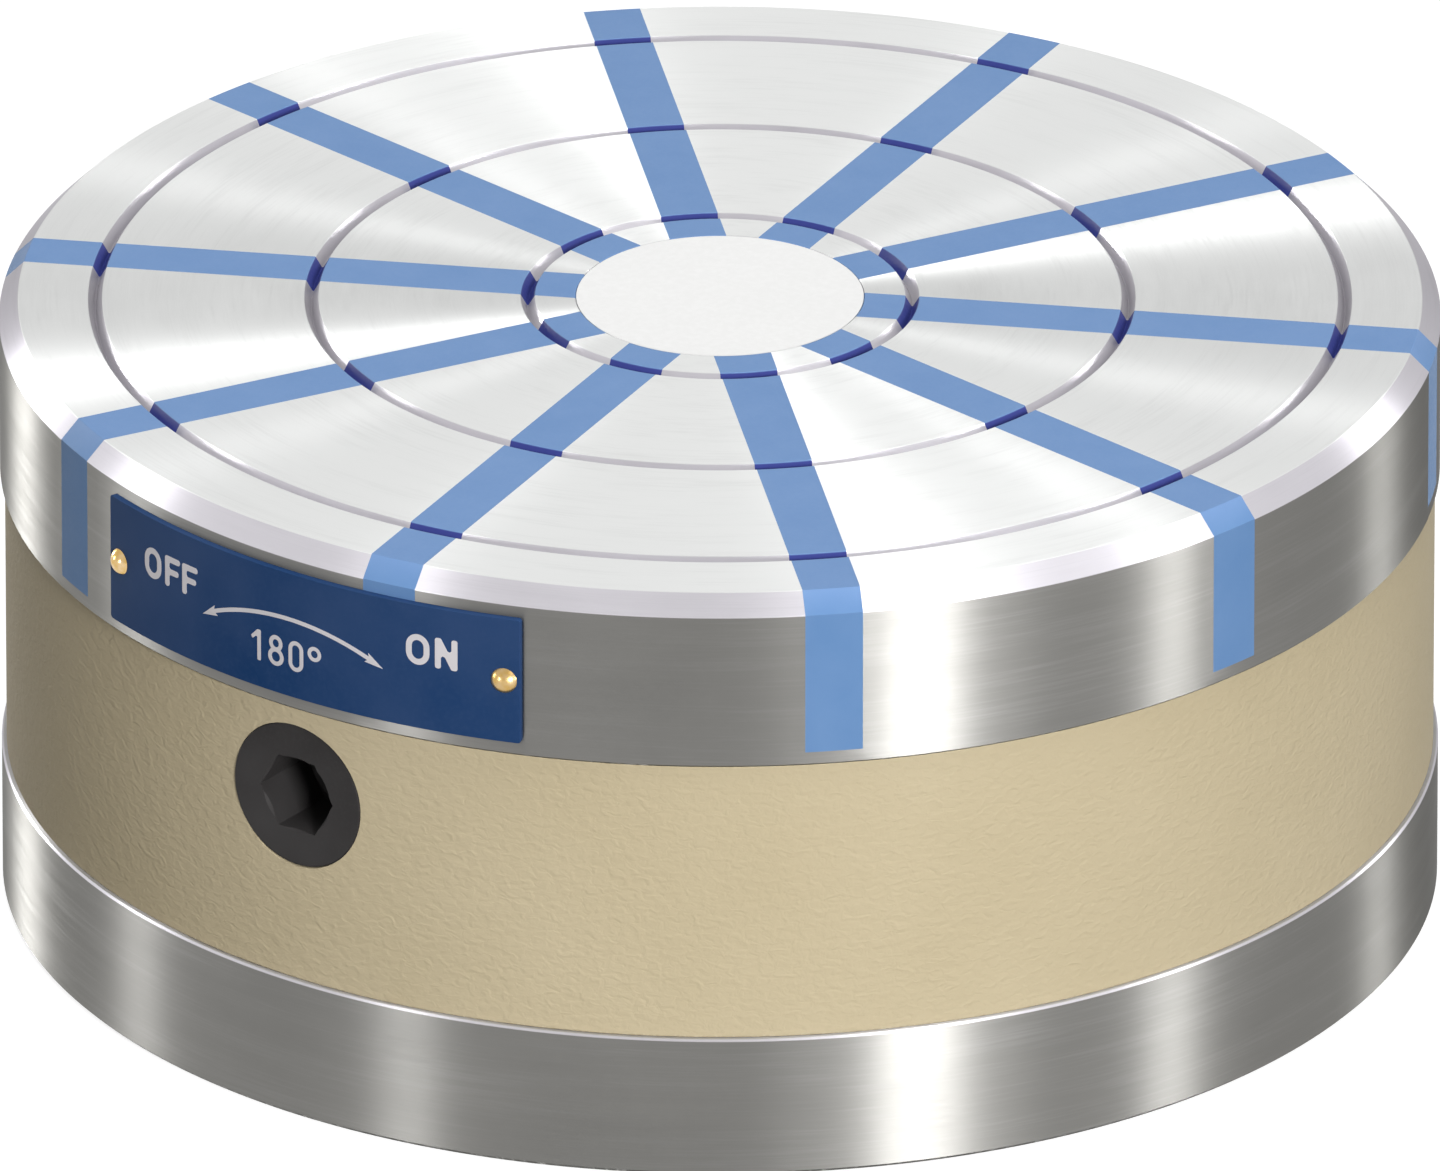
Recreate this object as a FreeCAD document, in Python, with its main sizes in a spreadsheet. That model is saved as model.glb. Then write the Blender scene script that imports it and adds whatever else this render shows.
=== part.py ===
"""Round permanent-magnet chuck with a hexagon-key switch, as a parametric FreeCAD document.

Millimetres. The origin is the centre of the bottom face and +Z points up to the clamping face.
The key socket and the nameplate face -Y, and azimuths are counted from -Y towards +X.
The chuck is drawn switched off. The key turns half a turn clockwise, and its bevel pinion swings
the magnet rotor by half a pole pitch, so that each magnet stands under one steel pole.
"""
import FreeCAD, Part
import math
import os
import re

import Sketcher

# Driving sizes: alias, value, and what the size is.
SIZES = [
    ("chuck_radius", 75.0, "outer radius of the pole plate and the base plate"),
    ("base_height", 15.5, "thickness of the base plate"),
    ("housing_height", 31.0, "height of the housing ring"),
    ("plate_height", 19.0, "thickness of the pole plate"),
    ("housing_inset", 0.5, "step in from the plates to the painted housing"),
    ("housing_wall", 16.5, "wall of the housing ring"),
    ("plate_overlap", 2.0, "reach of the pole plate's seat inside the housing"),
    ("top_chamfer", 2.0, "chamfer round the clamping face"),
    ("edge_break", 0.4, "broken edges of the base plate and pole plate"),
    ("pole_count", 10, "steel poles, pole gaps and magnets"),
    ("gap_width", 6.0, "width of a pole gap"),
    ("gap_web", 1.5, "web left under the pole gaps at the rim"),
    ("gap_angle", 9.0, "azimuth of the first pole gap"),
    ("groove_plug_margin", 5.0, "distance of the innermost centring groove from the centre plug"),
    ("groove_rim_margin", 10.0, "distance of the outermost centring groove from the rim"),
    ("groove_count", 3, "centring grooves in the clamping face"),
    ("groove_width", 1.5, "width of a 60 degree centring groove"),
    ("plug_radius", 15.0, "radius of the centre plug"),
    ("plug_lip", 2.5, "lip of the centre plug under the poles"),
    ("plug_lip_height", 3.0, "height of that lip"),
    ("seat", 0.02, "clearance of parts pressed or bonded together"),
    ("running", 0.04, "radial clearance of turning fits"),
    ("air_gap", 0.3, "gap between the rotor and the pole plate"),
    ("rotor_clearance", 0.7, "gap between the rotor and the housing bore"),
    ("pivot_radius", 7.0, "radius of the rotor pivot"),
    ("pivot_head_radius", 11.0, "radius of the pivot's head"),
    ("pivot_head_height", 4.0, "height of the pivot's head"),
    ("spigot_radius", 15.0, "radius of the locating recess under the base"),
    ("spigot_depth", 4.0, "depth of the locating recess"),
    ("bush_wall", 2.0, "wall of the rotor's bronze bush"),
    ("bearing_inner_radius", 15.0, "bore radius of the thrust needle bearing"),
    ("bearing_width", 8.5, "radial width of the bearing washers"),
    ("washer_height", 1.0, "thickness of each bearing washer"),
    ("washer_recess", 1.5, "depth of the bearing seat in the base"),
    ("needle_radius", 1.0, "radius of the bearing needles"),
    ("needle_length", 5.0, "length of the bearing needles"),
    ("needle_count", 16, "needles in the thrust bearing"),
    ("cage_inset", 0.5, "step in from the washers' edges to the needle cage"),
    ("cage_gap", 0.3, "gap between the needle cage and each washer"),
    ("magnet_height", 14.0, "height of the magnets"),
    ("spider_gap", 0.4, "gap between the magnet spider and the toothed segment"),
    ("spider_rim", 2.0, "rim of the magnet spider"),
    ("spider_arm", 3.0, "width of the arms between the magnets"),
    ("hub_wall", 6.5, "wall of the spider's hub"),
    ("hub_recess", 5.7, "depth of the recess for the retaining ring"),
    ("hub_recess_wall", 2.3, "wall left round that recess"),
    ("bond_gap", 0.1, "bond line round the magnets"),
    ("ring_groove_depth", 0.4, "depth of the retaining ring's groove"),
    ("ring_width", 2.4, "reach of the retaining ring past the pivot"),
    ("ring_thickness", 1.15, "thickness of the retaining ring"),
    ("ring_half_angle", 152.0, "half of the retaining ring's arc"),
    ("thrust_washer_height", 1.4, "thickness of the bronze thrust washer"),
    ("hub_screw_radius", 1.25, "radius of the spider's screws"),
    ("hub_screw_count", 5, "screws from the yoke into the spider"),
    ("key_drop", 10.1, "depth of the key shaft's axis under the pole plate"),
    ("key_rise", 10.4, "height of the key shaft's axis above the rotor's yoke"),
    ("key_radius", 8.0, "radius of the key shaft"),
    ("key_set_back", 0.2, "set-back of the shaft's end from the housing"),
    ("key_flats", 8.0, "width across flats of the key socket"),
    ("socket_depth", 8.0, "depth of the key socket"),
    ("socket_chamfer", 0.28, "width of the countersink on the socket's flats"),
    ("socket_cone_angle", 31.0, "slope of the drill's cone under the socket"),
    ("key_bush_wall", 1.0, "wall of the key shaft's bush"),
    ("key_bush_length", 12.0, "length of the key shaft's bush"),
    ("key_turn_angle", 180.0, "turn of the key between off and on"),
    ("seal_width", 1.44, "width and height of the shaft seal's section"),
    ("seal_clearance", 0.2, "side clearance of a seal in its groove"),
    ("seal_set_back", 1.9, "distance of the shaft seal from the shaft's end"),
    ("stop_set_back", 10.3, "distance of the stop groove from the shaft's end"),
    ("stop_screw_radius", 2.0, "radius of the stop screw"),
    ("stop_dog_radius", 1.25, "radius of the stop screw's dog point"),
    ("stop_groove_depth", 2.5, "depth of the stop groove"),
    ("stop_clearance", 0.15, "side clearance of the dog point"),
    ("pinion_tooth_count", 10, "teeth of the bevel pinion"),
    ("tooth_width", 5.5, "face width of the pinion"),
    ("tooth_inset", 0.3, "step in from the rotor's rim to the outer end of the teeth"),
    ("tooth_sink", 0.2, "depth by which the segment's teeth are sunk in its rim"),
    ("tooth_shift_ratio", 0.4, "profile shift of the pinion, in modules"),
    ("tooth_root_ratio", 0.25, "root clearance of the teeth, in modules"),
    ("pressure_angle", 20.0, "pressure angle of the teeth, in degrees"),
    ("backlash_width", 0.12, "tooth backlash at the outer end"),
    ("spigot_pin_radius", 3.0, "radius of the shaft's spigot in the pinion"),
    ("pinion_hub_wall", 1.2, "wall of the pinion's hub"),
    ("pinion_hub_length", 3.0, "length of the pinion's hub"),
    ("cross_pin_radius", 0.8, "radius of the pin through the pinion's hub"),
    ("segment_lug_height", 2.5, "thickness of the toothed segment's lugs"),
    ("segment_lug_angle", 9.0, "angle of one lug past the teeth"),
    ("segment_inset", 4.0, "reach of the lugs inside the teeth"),
    ("segment_screw_radius", 1.5, "radius of the segment's screws"),
    ("spare_tooth_count", 2, "teeth past each end of the mesh"),
    ("body_screw_radius", 3.0, "radius of the screws that hold the chuck together"),
    ("body_screw_edge", 7.0, "distance of those screws from the housing's outside"),
    ("body_screw_angle", 18.0, "azimuth of the first body screw"),
    ("body_screw_grip", 11.0, "thread length of those screws in the pole plate"),
    ("screw_clearance", 0.3, "radial clearance of screws in plain holes"),
    ("thread_clearance", 1.0, "depth of a tapped hole past its screw"),
    ("dowel_radius", 2.5, "radius of the dowel pins"),
    ("dowel_depth", 5.0, "depth of each dowel in each piece"),
    ("dowel_clearance", 0.1, "end clearance of each dowel"),
    ("dowel_angle", 72.0, "azimuth of the first pair of dowels"),
    ("base_seal_wall", 1.3, "wall left between the cavity and the groove of the base seal"),
    ("base_seal_width", 1.8, "width and depth of the base seal's groove"),
    ("mount_circle_radius", 50.0, "circle of the fixing threads under the base"),
    ("mount_hole_radius", 3.4, "tapping radius of the M8 fixing threads"),
    ("mount_hole_depth", 11.0, "depth of the fixing threads"),
    ("mount_hole_count", 4, "fixing threads"),
    ("label_half_angle", 20.3, "half of the nameplate's arc"),
    ("label_height", 14.0, "height of the nameplate"),
    ("label_drop", 3.3, "distance of the nameplate below the clamping face"),
    ("label_thickness", 0.7, "thickness of the nameplate"),
    ("rivet_head_radius", 1.4, "radius of a rivet's head"),
    ("rivet_head_height", 0.8, "height of a rivet's head"),
    ("rivet_shank_radius", 0.8, "radius of a rivet's shank"),
    ("rivet_length", 4.0, "depth of a rivet's hole in the pole plate"),
    ("rivet_clearance", 0.2, "end clearance of a rivet in its hole"),
    ("rivet_angle", 18.95, "angle of each rivet from the nameplate's middle"),
]

# Places and sizes worked out from the driving sizes.
PLACES = [
    ("base_top", "base_height"),
    ("housing_top", "base_top + housing_height"),
    ("chuck_top", "housing_top + plate_height"),
    ("housing_radius", "chuck_radius - housing_inset"),
    ("cavity_radius", "housing_radius - housing_wall"),
    ("pole_recess_radius", "cavity_radius - plate_overlap"),
    ("gap_floor", "housing_top + gap_web"),
    ("pole_pitch", "360 / pole_count"),
    ("groove_first_radius", "plug_radius + groove_plug_margin"),
    ("groove_spacing", "(chuck_radius - groove_rim_margin - groove_first_radius) / (groove_count - 1)"),
    ("groove_depth", "groove_width / 2 / tan(30 deg)"),
    ("rotor_radius", "cavity_radius - rotor_clearance"),
    ("rotor_top", "gap_floor - air_gap"),
    ("tooth_outer", "rotor_radius - tooth_inset"),
    ("tooth_inner", "tooth_outer - tooth_width"),
    ("segment_inner", "tooth_inner - screw_clearance"),
    ("lug_inner", "segment_inner - segment_inset"),
    ("spider_radius", "lug_inner - spider_gap"),
    ("base_seal_radius", "cavity_radius + base_seal_wall"),
    ("washer_floor", "base_top - washer_recess"),
    ("needle_floor", "washer_floor + washer_height"),
    ("needle_top", "needle_floor + 2 * needle_radius"),
    ("bearing_outer_radius", "bearing_inner_radius + bearing_width"),
    ("bearing_mean_radius", "bearing_inner_radius + bearing_width / 2"),
    ("yoke_floor", "needle_top + washer_height"),
    ("key_z", "housing_top - key_drop"),
    ("yoke_top", "key_z - key_rise"),
    ("yoke_height", "yoke_top - yoke_floor"),
    ("magnet_top", "yoke_top + magnet_height"),
    ("rotor_bore_radius", "pivot_radius + running + bush_wall"),
    ("hub_radius", "rotor_bore_radius + hub_wall"),
    ("hub_floor", "rotor_top - hub_recess"),
    ("spider_bore_radius", "spider_radius - spider_rim"),
    ("pivot_head_floor", "spigot_depth + seat"),
    ("pivot_head_top", "pivot_head_floor + pivot_head_height"),
    ("hub_recess_radius", "hub_radius - hub_recess_wall"),
    ("hub_screw_circle_radius", "(rotor_bore_radius + hub_radius) / 2"),
    ("hub_screw_head_radius", "hub_screw_radius * 1.8"),
    ("ring_floor", "hub_floor + thrust_washer_height + running"),
    ("ring_top", "ring_floor + ring_thickness"),
    ("gear_ratio", "pole_count * key_turn_angle / 180"),
    ("rotor_turn_angle", "180 / pole_count"),
    ("rotor_angle", "gap_angle + rotor_turn_angle"),
    ("tooth_pitch", "360 / (pinion_tooth_count * gear_ratio)"),
    ("segment_teeth", "pinion_tooth_count * key_turn_angle / 360 + 1 + 2 * spare_tooth_count"),
    ("segment_angle", "rotor_turn_angle / 2"),
    ("key_end", "housing_radius - key_set_back"),
    ("key_bush_radius", "key_radius + key_bush_wall"),
    ("key_bush_start", "cavity_radius + key_set_back"),
    ("key_bush_end", "key_bush_start + key_bush_length"),
    ("seal_place", "key_end - seal_set_back"),
    ("seal_floor_radius", "key_radius - seal_width - running"),
    ("seal_half_width", "seal_width / 2 + seal_clearance"),
    ("stop_place", "key_end - stop_set_back"),
    ("stop_root_radius", "key_radius - stop_groove_depth"),
    ("stop_half_width", "stop_dog_radius + stop_clearance"),
    ("pinion_end", "tooth_inner - pinion_hub_length"),
    ("segment_screw_angle", "segment_teeth * tooth_pitch / 2 + segment_lug_angle * 0.55"),
    ("segment_screw_circle_radius", "(tooth_inner + tooth_outer - segment_inset) / 2"),
    ("pinion_hub_radius", "spigot_pin_radius + pinion_hub_wall"),
    ("body_screw_circle_radius", "housing_radius - body_screw_edge"),
    ("body_screw_head_radius", "body_screw_radius * 5 / 3"),
    ("body_screw_sink", "2 * body_screw_radius + screw_clearance"),
    ("segment_top", "yoke_top + segment_lug_height"),
    ("label_radius", "chuck_radius + seat"),
    ("label_top", "chuck_top - label_drop"),
    ("rivet_z", "label_top - label_height / 2"),
    ("rivet_seat_radius", "label_radius + label_thickness + seat"),
    ("rivet_dome_radius", "(rivet_head_radius ^ 2 + rivet_head_height ^ 2) / (2 * rivet_head_height)"),
]

KEY_AZIMUTH = -90.0   # direction of the key from +X, seen from above
SIZE_NAMES = {name for name, _, _ in SIZES}
PLACE_NAMES = {name for name, _ in PLACES}


def bound(text):
    """Return an expression with each name tied to its cell or its worked-out place."""
    def tie(match):
        name = match.group(0)
        if name in SIZE_NAMES:
            return f"Sizes.{name}"
        if name in PLACE_NAMES:
            return f"Places.{name}"
        return name
    return re.sub(r"[a-z][a-z_]*", tie, text)


def add_sizes(doc):
    """Write the driving sizes into a sheet and the worked-out places into a variable set."""
    sheet = doc.addObject("Spreadsheet::Sheet", "Sizes")
    for row, (name, value, note) in enumerate(SIZES, start=1):
        sheet.set(f"A{row}", note)
        sheet.set(f"B{row}", str(value))
        sheet.setAlias(f"B{row}", name)
    doc.recompute()
    places = doc.addObject("App::VarSet", "Places")
    for name, text in PLACES:
        places.addProperty("App::PropertyFloat", name, "Places")
        places.setExpression(name, bound(text))
        doc.recompute()


def measure(doc, text):
    """Return the number that an expression of sizes and places stands for."""
    result = doc.Places.evalExpression(bound(text))
    return float(getattr(result, "Value", result))


def new_body(doc, label, azimuth="0"):
    """Start a sub-part, turned about the chuck's axis to an azimuth."""
    body = doc.addObject("PartDesign::Body", label)
    body.Label = label
    body.Placement = FreeCAD.Placement(FreeCAD.Vector(), FreeCAD.Rotation(FreeCAD.Vector(0, 0, 1), 1))
    body.setExpression("Placement.Rotation.Angle", bound(azimuth))
    return body


def lay_along_key(body):
    """Turn a sub-part drawn along its own Z so that it lies along the key shaft's axis."""
    body.setExpression("Placement.Rotation.Angle", None)
    body.Placement = FreeCAD.Placement(FreeCAD.Vector(), FreeCAD.Rotation(FreeCAD.Vector(1, 0, 0), 90))
    body.setExpression("Placement.Base.z", bound("key_z"))


def new_sketch(body, role, height="0", shift="0", lift="0", azimuth="0"):
    """Attach a sketch to an origin plane of its body, raised, shifted in its plane and turned."""
    sketch = body.newObject("Sketcher::SketchObject", body.Name + "_sketch")
    plane = next(item for item in body.Origin.OriginFeatures if item.Role == role)
    sketch.AttachmentSupport = [(plane, "")]
    sketch.MapMode = "FlatFace"
    turn = FreeCAD.Rotation(FreeCAD.Vector(0, 0, 1), 1)
    sketch.AttachmentOffset = FreeCAD.Placement(FreeCAD.Vector(), turn)
    sketch.setExpression("AttachmentOffset.Base.x", bound(shift))
    sketch.setExpression("AttachmentOffset.Base.y", bound(lift))
    sketch.setExpression("AttachmentOffset.Base.z", bound(height))
    sketch.setExpression("AttachmentOffset.Rotation.Angle", bound(azimuth))
    return sketch


def new_side_sketch(body, radius, azimuth):
    """Attach a sketch square to a radial line, at a radius and an azimuth."""
    sketch = new_sketch(body, "YZ_Plane")
    sketch.setExpression("AttachmentOffset.Rotation.Angle", None)
    turn = FreeCAD.Rotation(FreeCAD.Vector(0, 1, 0), 1)
    sketch.AttachmentOffset = FreeCAD.Placement(FreeCAD.Vector(), turn)
    sketch.setExpression("AttachmentOffset.Rotation.Angle", bound(azimuth))
    sketch.setExpression("AttachmentOffset.Base.x", bound(f"({radius}) * sin({azimuth})"))
    sketch.setExpression("AttachmentOffset.Base.z", bound(f"({radius}) * cos({azimuth})"))
    return sketch


def fix_point(sketch, geometry, point, across, up):
    """Fix a sketch point by two bound distances from the sketch's origin."""
    for kind, text in (("DistanceX", across), ("DistanceY", up)):
        value = measure(sketch.Document, text)
        number = sketch.addConstraint(Sketcher.Constraint(kind, -1, 1, geometry, point, value))
        sketch.setExpression(f"Constraints[{number}]", bound(text))


def draw_outline(sketch, corners, round_side=None, radius=None):
    """Draw a closed outline through corners given as pairs of expressions.

    The side after corner number round_side may be an arc of a radius, turning clockwise.
    """
    doc = sketch.Document
    points = [FreeCAD.Vector(measure(doc, across), measure(doc, up), 0) for across, up in corners]
    sides = []
    for index, (start, end) in enumerate(zip(points, points[1:] + points[:1])):
        if index == round_side:
            arc = sketch.addGeometry(clockwise_arc(start, end, measure(doc, radius)), False)
            sides.append((arc, 2, 1))
            number = sketch.addConstraint(Sketcher.Constraint("Radius", arc, measure(doc, radius)))
            sketch.setExpression(f"Constraints[{number}]", bound(radius))
        else:
            sides.append((sketch.addGeometry(Part.LineSegment(start, end), False), 1, 2))
    for index, (side, first, last) in enumerate(sides):
        following, joined, _ = sides[(index + 1) % len(sides)]
        sketch.addConstraint(Sketcher.Constraint("Coincident", side, last, following, joined))
        fix_point(sketch, side, first, *corners[index])


def clockwise_arc(start, end, radius):
    """Return the shorter arc of a radius that runs clockwise from start to end."""
    half = (end - start) * 0.5
    across = FreeCAD.Vector(half.y, -half.x, 0).normalize()
    centre = start + half + across * math.sqrt(radius ** 2 - half.Length ** 2)
    circle = Part.Circle(centre, FreeCAD.Vector(0, 0, 1), radius)
    first, last = (math.atan2(point.y - centre.y, point.x - centre.x) for point in (end, start))
    return Part.ArcOfCircle(circle, first, last)


def draw_circle(sketch, across, up, radius):
    """Draw a circle whose centre and radius are bound."""
    doc = sketch.Document
    centre = FreeCAD.Vector(measure(doc, across), measure(doc, up), 0)
    value = measure(doc, radius)
    index = sketch.addGeometry(Part.Circle(centre, FreeCAD.Vector(0, 0, 1), value), False)
    fix_point(sketch, index, 3, across, up)
    number = sketch.addConstraint(Sketcher.Constraint("Radius", index, value))
    sketch.setExpression(f"Constraints[{number}]", bound(radius))


def draw_sector(sketch, inner_radius, outer_radius, inner_angle, outer_angle):
    """Draw a ring sector about the sketch's X axis, with a half-angle for each of its two arcs."""
    doc = sketch.Document
    ends = []
    for radius, angle in ((outer_radius, outer_angle), (inner_radius, inner_angle)):
        value = measure(doc, radius)
        half = math.radians(measure(doc, angle))
        circle = Part.Circle(FreeCAD.Vector(), FreeCAD.Vector(0, 0, 1), value)
        arc = sketch.addGeometry(Part.ArcOfCircle(circle, -half, half), False)
        sketch.addConstraint(Sketcher.Constraint("Coincident", arc, 3, -1, 1))
        number = sketch.addConstraint(Sketcher.Constraint("Radius", arc, value))
        sketch.setExpression(f"Constraints[{number}]", bound(radius))
        for point, sign in ((1, "-"), (2, "")):
            text = f"{sign}({radius}) * sin({angle})"
            number = sketch.addConstraint(
                Sketcher.Constraint("DistanceY", -1, 1, arc, point, measure(doc, text)))
            sketch.setExpression(f"Constraints[{number}]", bound(text))
        ends.append(arc)
    outer, inner = ends
    for point in (1, 2):
        line = sketch.addGeometry(Part.LineSegment(
            sketch.getPoint(outer, point), sketch.getPoint(inner, point)), False)
        sketch.addConstraint(Sketcher.Constraint("Coincident", line, 1, outer, point))
        sketch.addConstraint(Sketcher.Constraint("Coincident", line, 2, inner, point))


def add_feature(body, kind, sketch, **settings):
    """Add a PartDesign feature on a sketch, and make sure that it changes the solid."""
    doc = body.Document
    doc.recompute()
    before = 0.0 if body.Shape.isNull() else body.Shape.Volume
    feature = body.newObject("PartDesign::" + kind, body.Name + "_" + kind.lower())
    feature.Profile = sketch
    if kind in ("Revolution", "Groove"):
        feature.ReferenceAxis = (sketch, [settings.pop("axis", "V_Axis")])
        feature.Angle = 360
    for name, setting in settings.items():
        if isinstance(setting, str):
            feature.setExpression(name, bound(setting))
        else:
            setattr(feature, name, setting)
    doc.recompute()
    change = body.Shape.Volume - before
    if change > -1e-6 and kind in ("Pocket", "Groove"):
        raise RuntimeError(f"{feature.Name} of {body.Label} cuts nothing")
    return feature


def add_pattern(body, features, count, spread="360"):
    """Repeat features about the body's Z axis."""
    pattern = body.newObject("PartDesign::PolarPattern", body.Name + "_pattern")
    pattern.Originals = features
    axis = next(item for item in body.Origin.OriginFeatures if item.Role == "Z_Axis")
    pattern.Axis = (axis, [""])
    pattern.setExpression("Angle", bound(spread))
    pattern.setExpression("Occurrences", bound(count))
    body.Tip = pattern
    body.Document.recompute()
    return pattern


def revolve(body, corners, **place):
    """Turn an outline of (radius, height) corners about its sketch's upright axis."""
    sketch = new_sketch(body, "XZ_Plane", **place)
    draw_outline(sketch, corners)
    return add_feature(body, "Revolution", sketch)


def cut_round(body, corners):
    """Turn an outline of (radius, height) corners about the axis and take it away."""
    sketch = new_sketch(body, "XZ_Plane")
    draw_outline(sketch, corners)
    return add_feature(body, "Groove", sketch)


def drill(body, circle_radius, radius, floor, depth, azimuth="0"):
    """Drill one hole upward from a height, at an azimuth on a circle about the axis."""
    sketch = new_sketch(body, "XY_Plane", height=floor, azimuth=azimuth)
    draw_circle(sketch, circle_radius, "0", radius)
    return add_feature(body, "Pocket", sketch, Length=depth, Reversed=True)


def key_azimuth(text):
    """Return the body angle of an azimuth counted from the key."""
    return f"{KEY_AZIMUTH:.0f} + {text}"


def gap_bar_outline():
    """Return the outline corners of a pole gap, from the chuck's axis past the rim."""
    return [
        ("0", "-gap_width / 2"),
        ("chuck_radius + gap_width", "-gap_width / 2"),
        ("chuck_radius + gap_width", "gap_width / 2"),
        ("0", "gap_width / 2"),
    ]


def centring_grooves(count):
    """Return the outline corners of the grooves, from the rim inward."""
    corners = []
    for index in reversed(range(count)):
        centre = f"groove_first_radius + {index} * groove_spacing"
        corners += [
            (f"{centre} + groove_width / 2", "chuck_top"),
            (centre, "chuck_top - groove_depth"),
            (f"{centre} - groove_width / 2", "chuck_top"),
        ]
    return corners


def plug_seat(clearance):
    """Return the outline corners of the centre plug's wall, from the top down."""
    return [
        (f"plug_radius + {clearance}", "chuck_top"),
        (f"plug_radius + {clearance}", f"gap_floor + plug_lip_height + {clearance}"),
        (f"plug_radius + plug_lip + {clearance}", f"gap_floor + plug_lip_height + {clearance}"),
        (f"plug_radius + plug_lip + {clearance}", "gap_floor"),
    ]


# ---------------------------------------------------------------- fixed pieces

def make_base_plate(doc):
    """Steel base with the pivot's seat, the bearing's seat, screw holes and fixing threads."""
    body = new_body(doc, "base_plate")
    revolve(body, [
        ("spigot_radius", "0"),
        ("chuck_radius - edge_break", "0"),
        ("chuck_radius", "edge_break"),
        ("chuck_radius", "base_top - edge_break / 2"),
        ("chuck_radius - edge_break / 2", "base_top"),
        ("bearing_outer_radius + seat * 5", "base_top"),
        ("bearing_outer_radius + seat * 5", "washer_floor"),
        ("pivot_radius + seat", "washer_floor"),
        ("pivot_radius + seat", "pivot_head_top"),
        ("pivot_head_radius + seat", "pivot_head_top"),
        ("pivot_head_radius + seat", "spigot_depth"),
        ("spigot_radius", "spigot_depth"),
    ])
    azimuth = key_azimuth("body_screw_angle")
    shank = drill(body, "body_screw_circle_radius", "body_screw_radius + screw_clearance", "0",
                  "base_height", azimuth)
    add_pattern(body, [shank], "pole_count")
    head = drill(body, "body_screw_circle_radius", "body_screw_head_radius + screw_clearance", "0",
                 "body_screw_sink", azimuth)
    add_pattern(body, [head], "pole_count")
    fixing = drill(body, "mount_circle_radius", "mount_hole_radius", "0", "mount_hole_depth",
                   key_azimuth("180 / mount_hole_count"))
    add_pattern(body, [fixing], "mount_hole_count")
    dowel = drill(body, "body_screw_circle_radius", "dowel_radius + seat", "base_top - dowel_depth",
                  "dowel_depth", key_azimuth("dowel_angle"))
    add_pattern(body, [dowel], "2")
    return body


def make_housing_ring(doc):
    """Painted ring between the plates, with the key shaft's cross bore and the stop screw's hole."""
    body = new_body(doc, "housing_ring")
    revolve(body, [
        ("cavity_radius", "base_top"),
        ("base_seal_radius", "base_top"),
        ("base_seal_radius", "base_top + base_seal_width"),
        ("base_seal_radius + base_seal_width", "base_top + base_seal_width"),
        ("base_seal_radius + base_seal_width", "base_top"),
        ("housing_radius", "base_top"),
        ("housing_radius", "housing_top"),
        ("cavity_radius", "housing_top"),
    ])
    azimuth = key_azimuth("body_screw_angle")
    shank = drill(body, "body_screw_circle_radius", "body_screw_radius + screw_clearance", "base_top",
                  "housing_height", azimuth)
    add_pattern(body, [shank], "pole_count")
    for floor in ("base_top", "housing_top - dowel_depth"):
        dowel = drill(body, "body_screw_circle_radius", "dowel_radius + seat", floor, "dowel_depth",
                      key_azimuth("dowel_angle"))
        add_pattern(body, [dowel], "2")
    drill(body, "stop_place", "stop_screw_radius + seat", "base_top", "key_z - key_radius - base_top",
          key_azimuth("0"))
    bores = (("key_radius + running", "chuck_radius"), ("key_bush_radius + seat", "key_bush_end"))
    for radius, length in bores:
        sketch = new_sketch(body, "XZ_Plane")
        draw_circle(sketch, "0", "key_z", radius)
        add_feature(body, "Pocket", sketch, Length=length, Reversed=True)
    return body


def make_pole_plate(doc):
    """Steel pole plate: ten poles parted by radial slots and held by a thin web at the rim."""
    body = new_body(doc, "pole_plate")
    groove_count = round(measure(doc, "groove_count"))
    outline = [
        ("pole_recess_radius", "gap_floor"),
        ("pole_recess_radius", "housing_top"),
        ("chuck_radius - edge_break / 2", "housing_top"),
        ("chuck_radius", "housing_top + edge_break / 2"),
        ("chuck_radius", "chuck_top - top_chamfer"),
        ("chuck_radius - top_chamfer", "chuck_top"),
    ]
    revolve(body, outline + centring_grooves(groove_count) + plug_seat("seat"))
    slot = new_sketch(body, "XY_Plane", height="gap_floor", azimuth=key_azimuth("gap_angle"))
    draw_outline(slot, gap_bar_outline())
    cut = add_feature(body, "Pocket", slot, Length="plate_height", Reversed=True)
    add_pattern(body, [cut], "pole_count")
    thread = drill(body, "body_screw_circle_radius", "body_screw_radius + seat", "housing_top",
                   "body_screw_grip + thread_clearance", key_azimuth("body_screw_angle"))
    add_pattern(body, [thread], "pole_count")
    dowel = drill(body, "body_screw_circle_radius", "dowel_radius + seat", "housing_top", "dowel_depth",
                  key_azimuth("dowel_angle"))
    add_pattern(body, [dowel], "2")
    for side in (-1, 1):
        azimuth = key_azimuth(f"{side} * rivet_angle")
        hole = new_side_sketch(body, "chuck_radius - rivet_length", azimuth)
        draw_circle(hole, "0", "rivet_z", "rivet_shank_radius + seat")
        add_feature(body, "Pocket", hole, Length="2 * rivet_length", Reversed=True)
    return body


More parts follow.
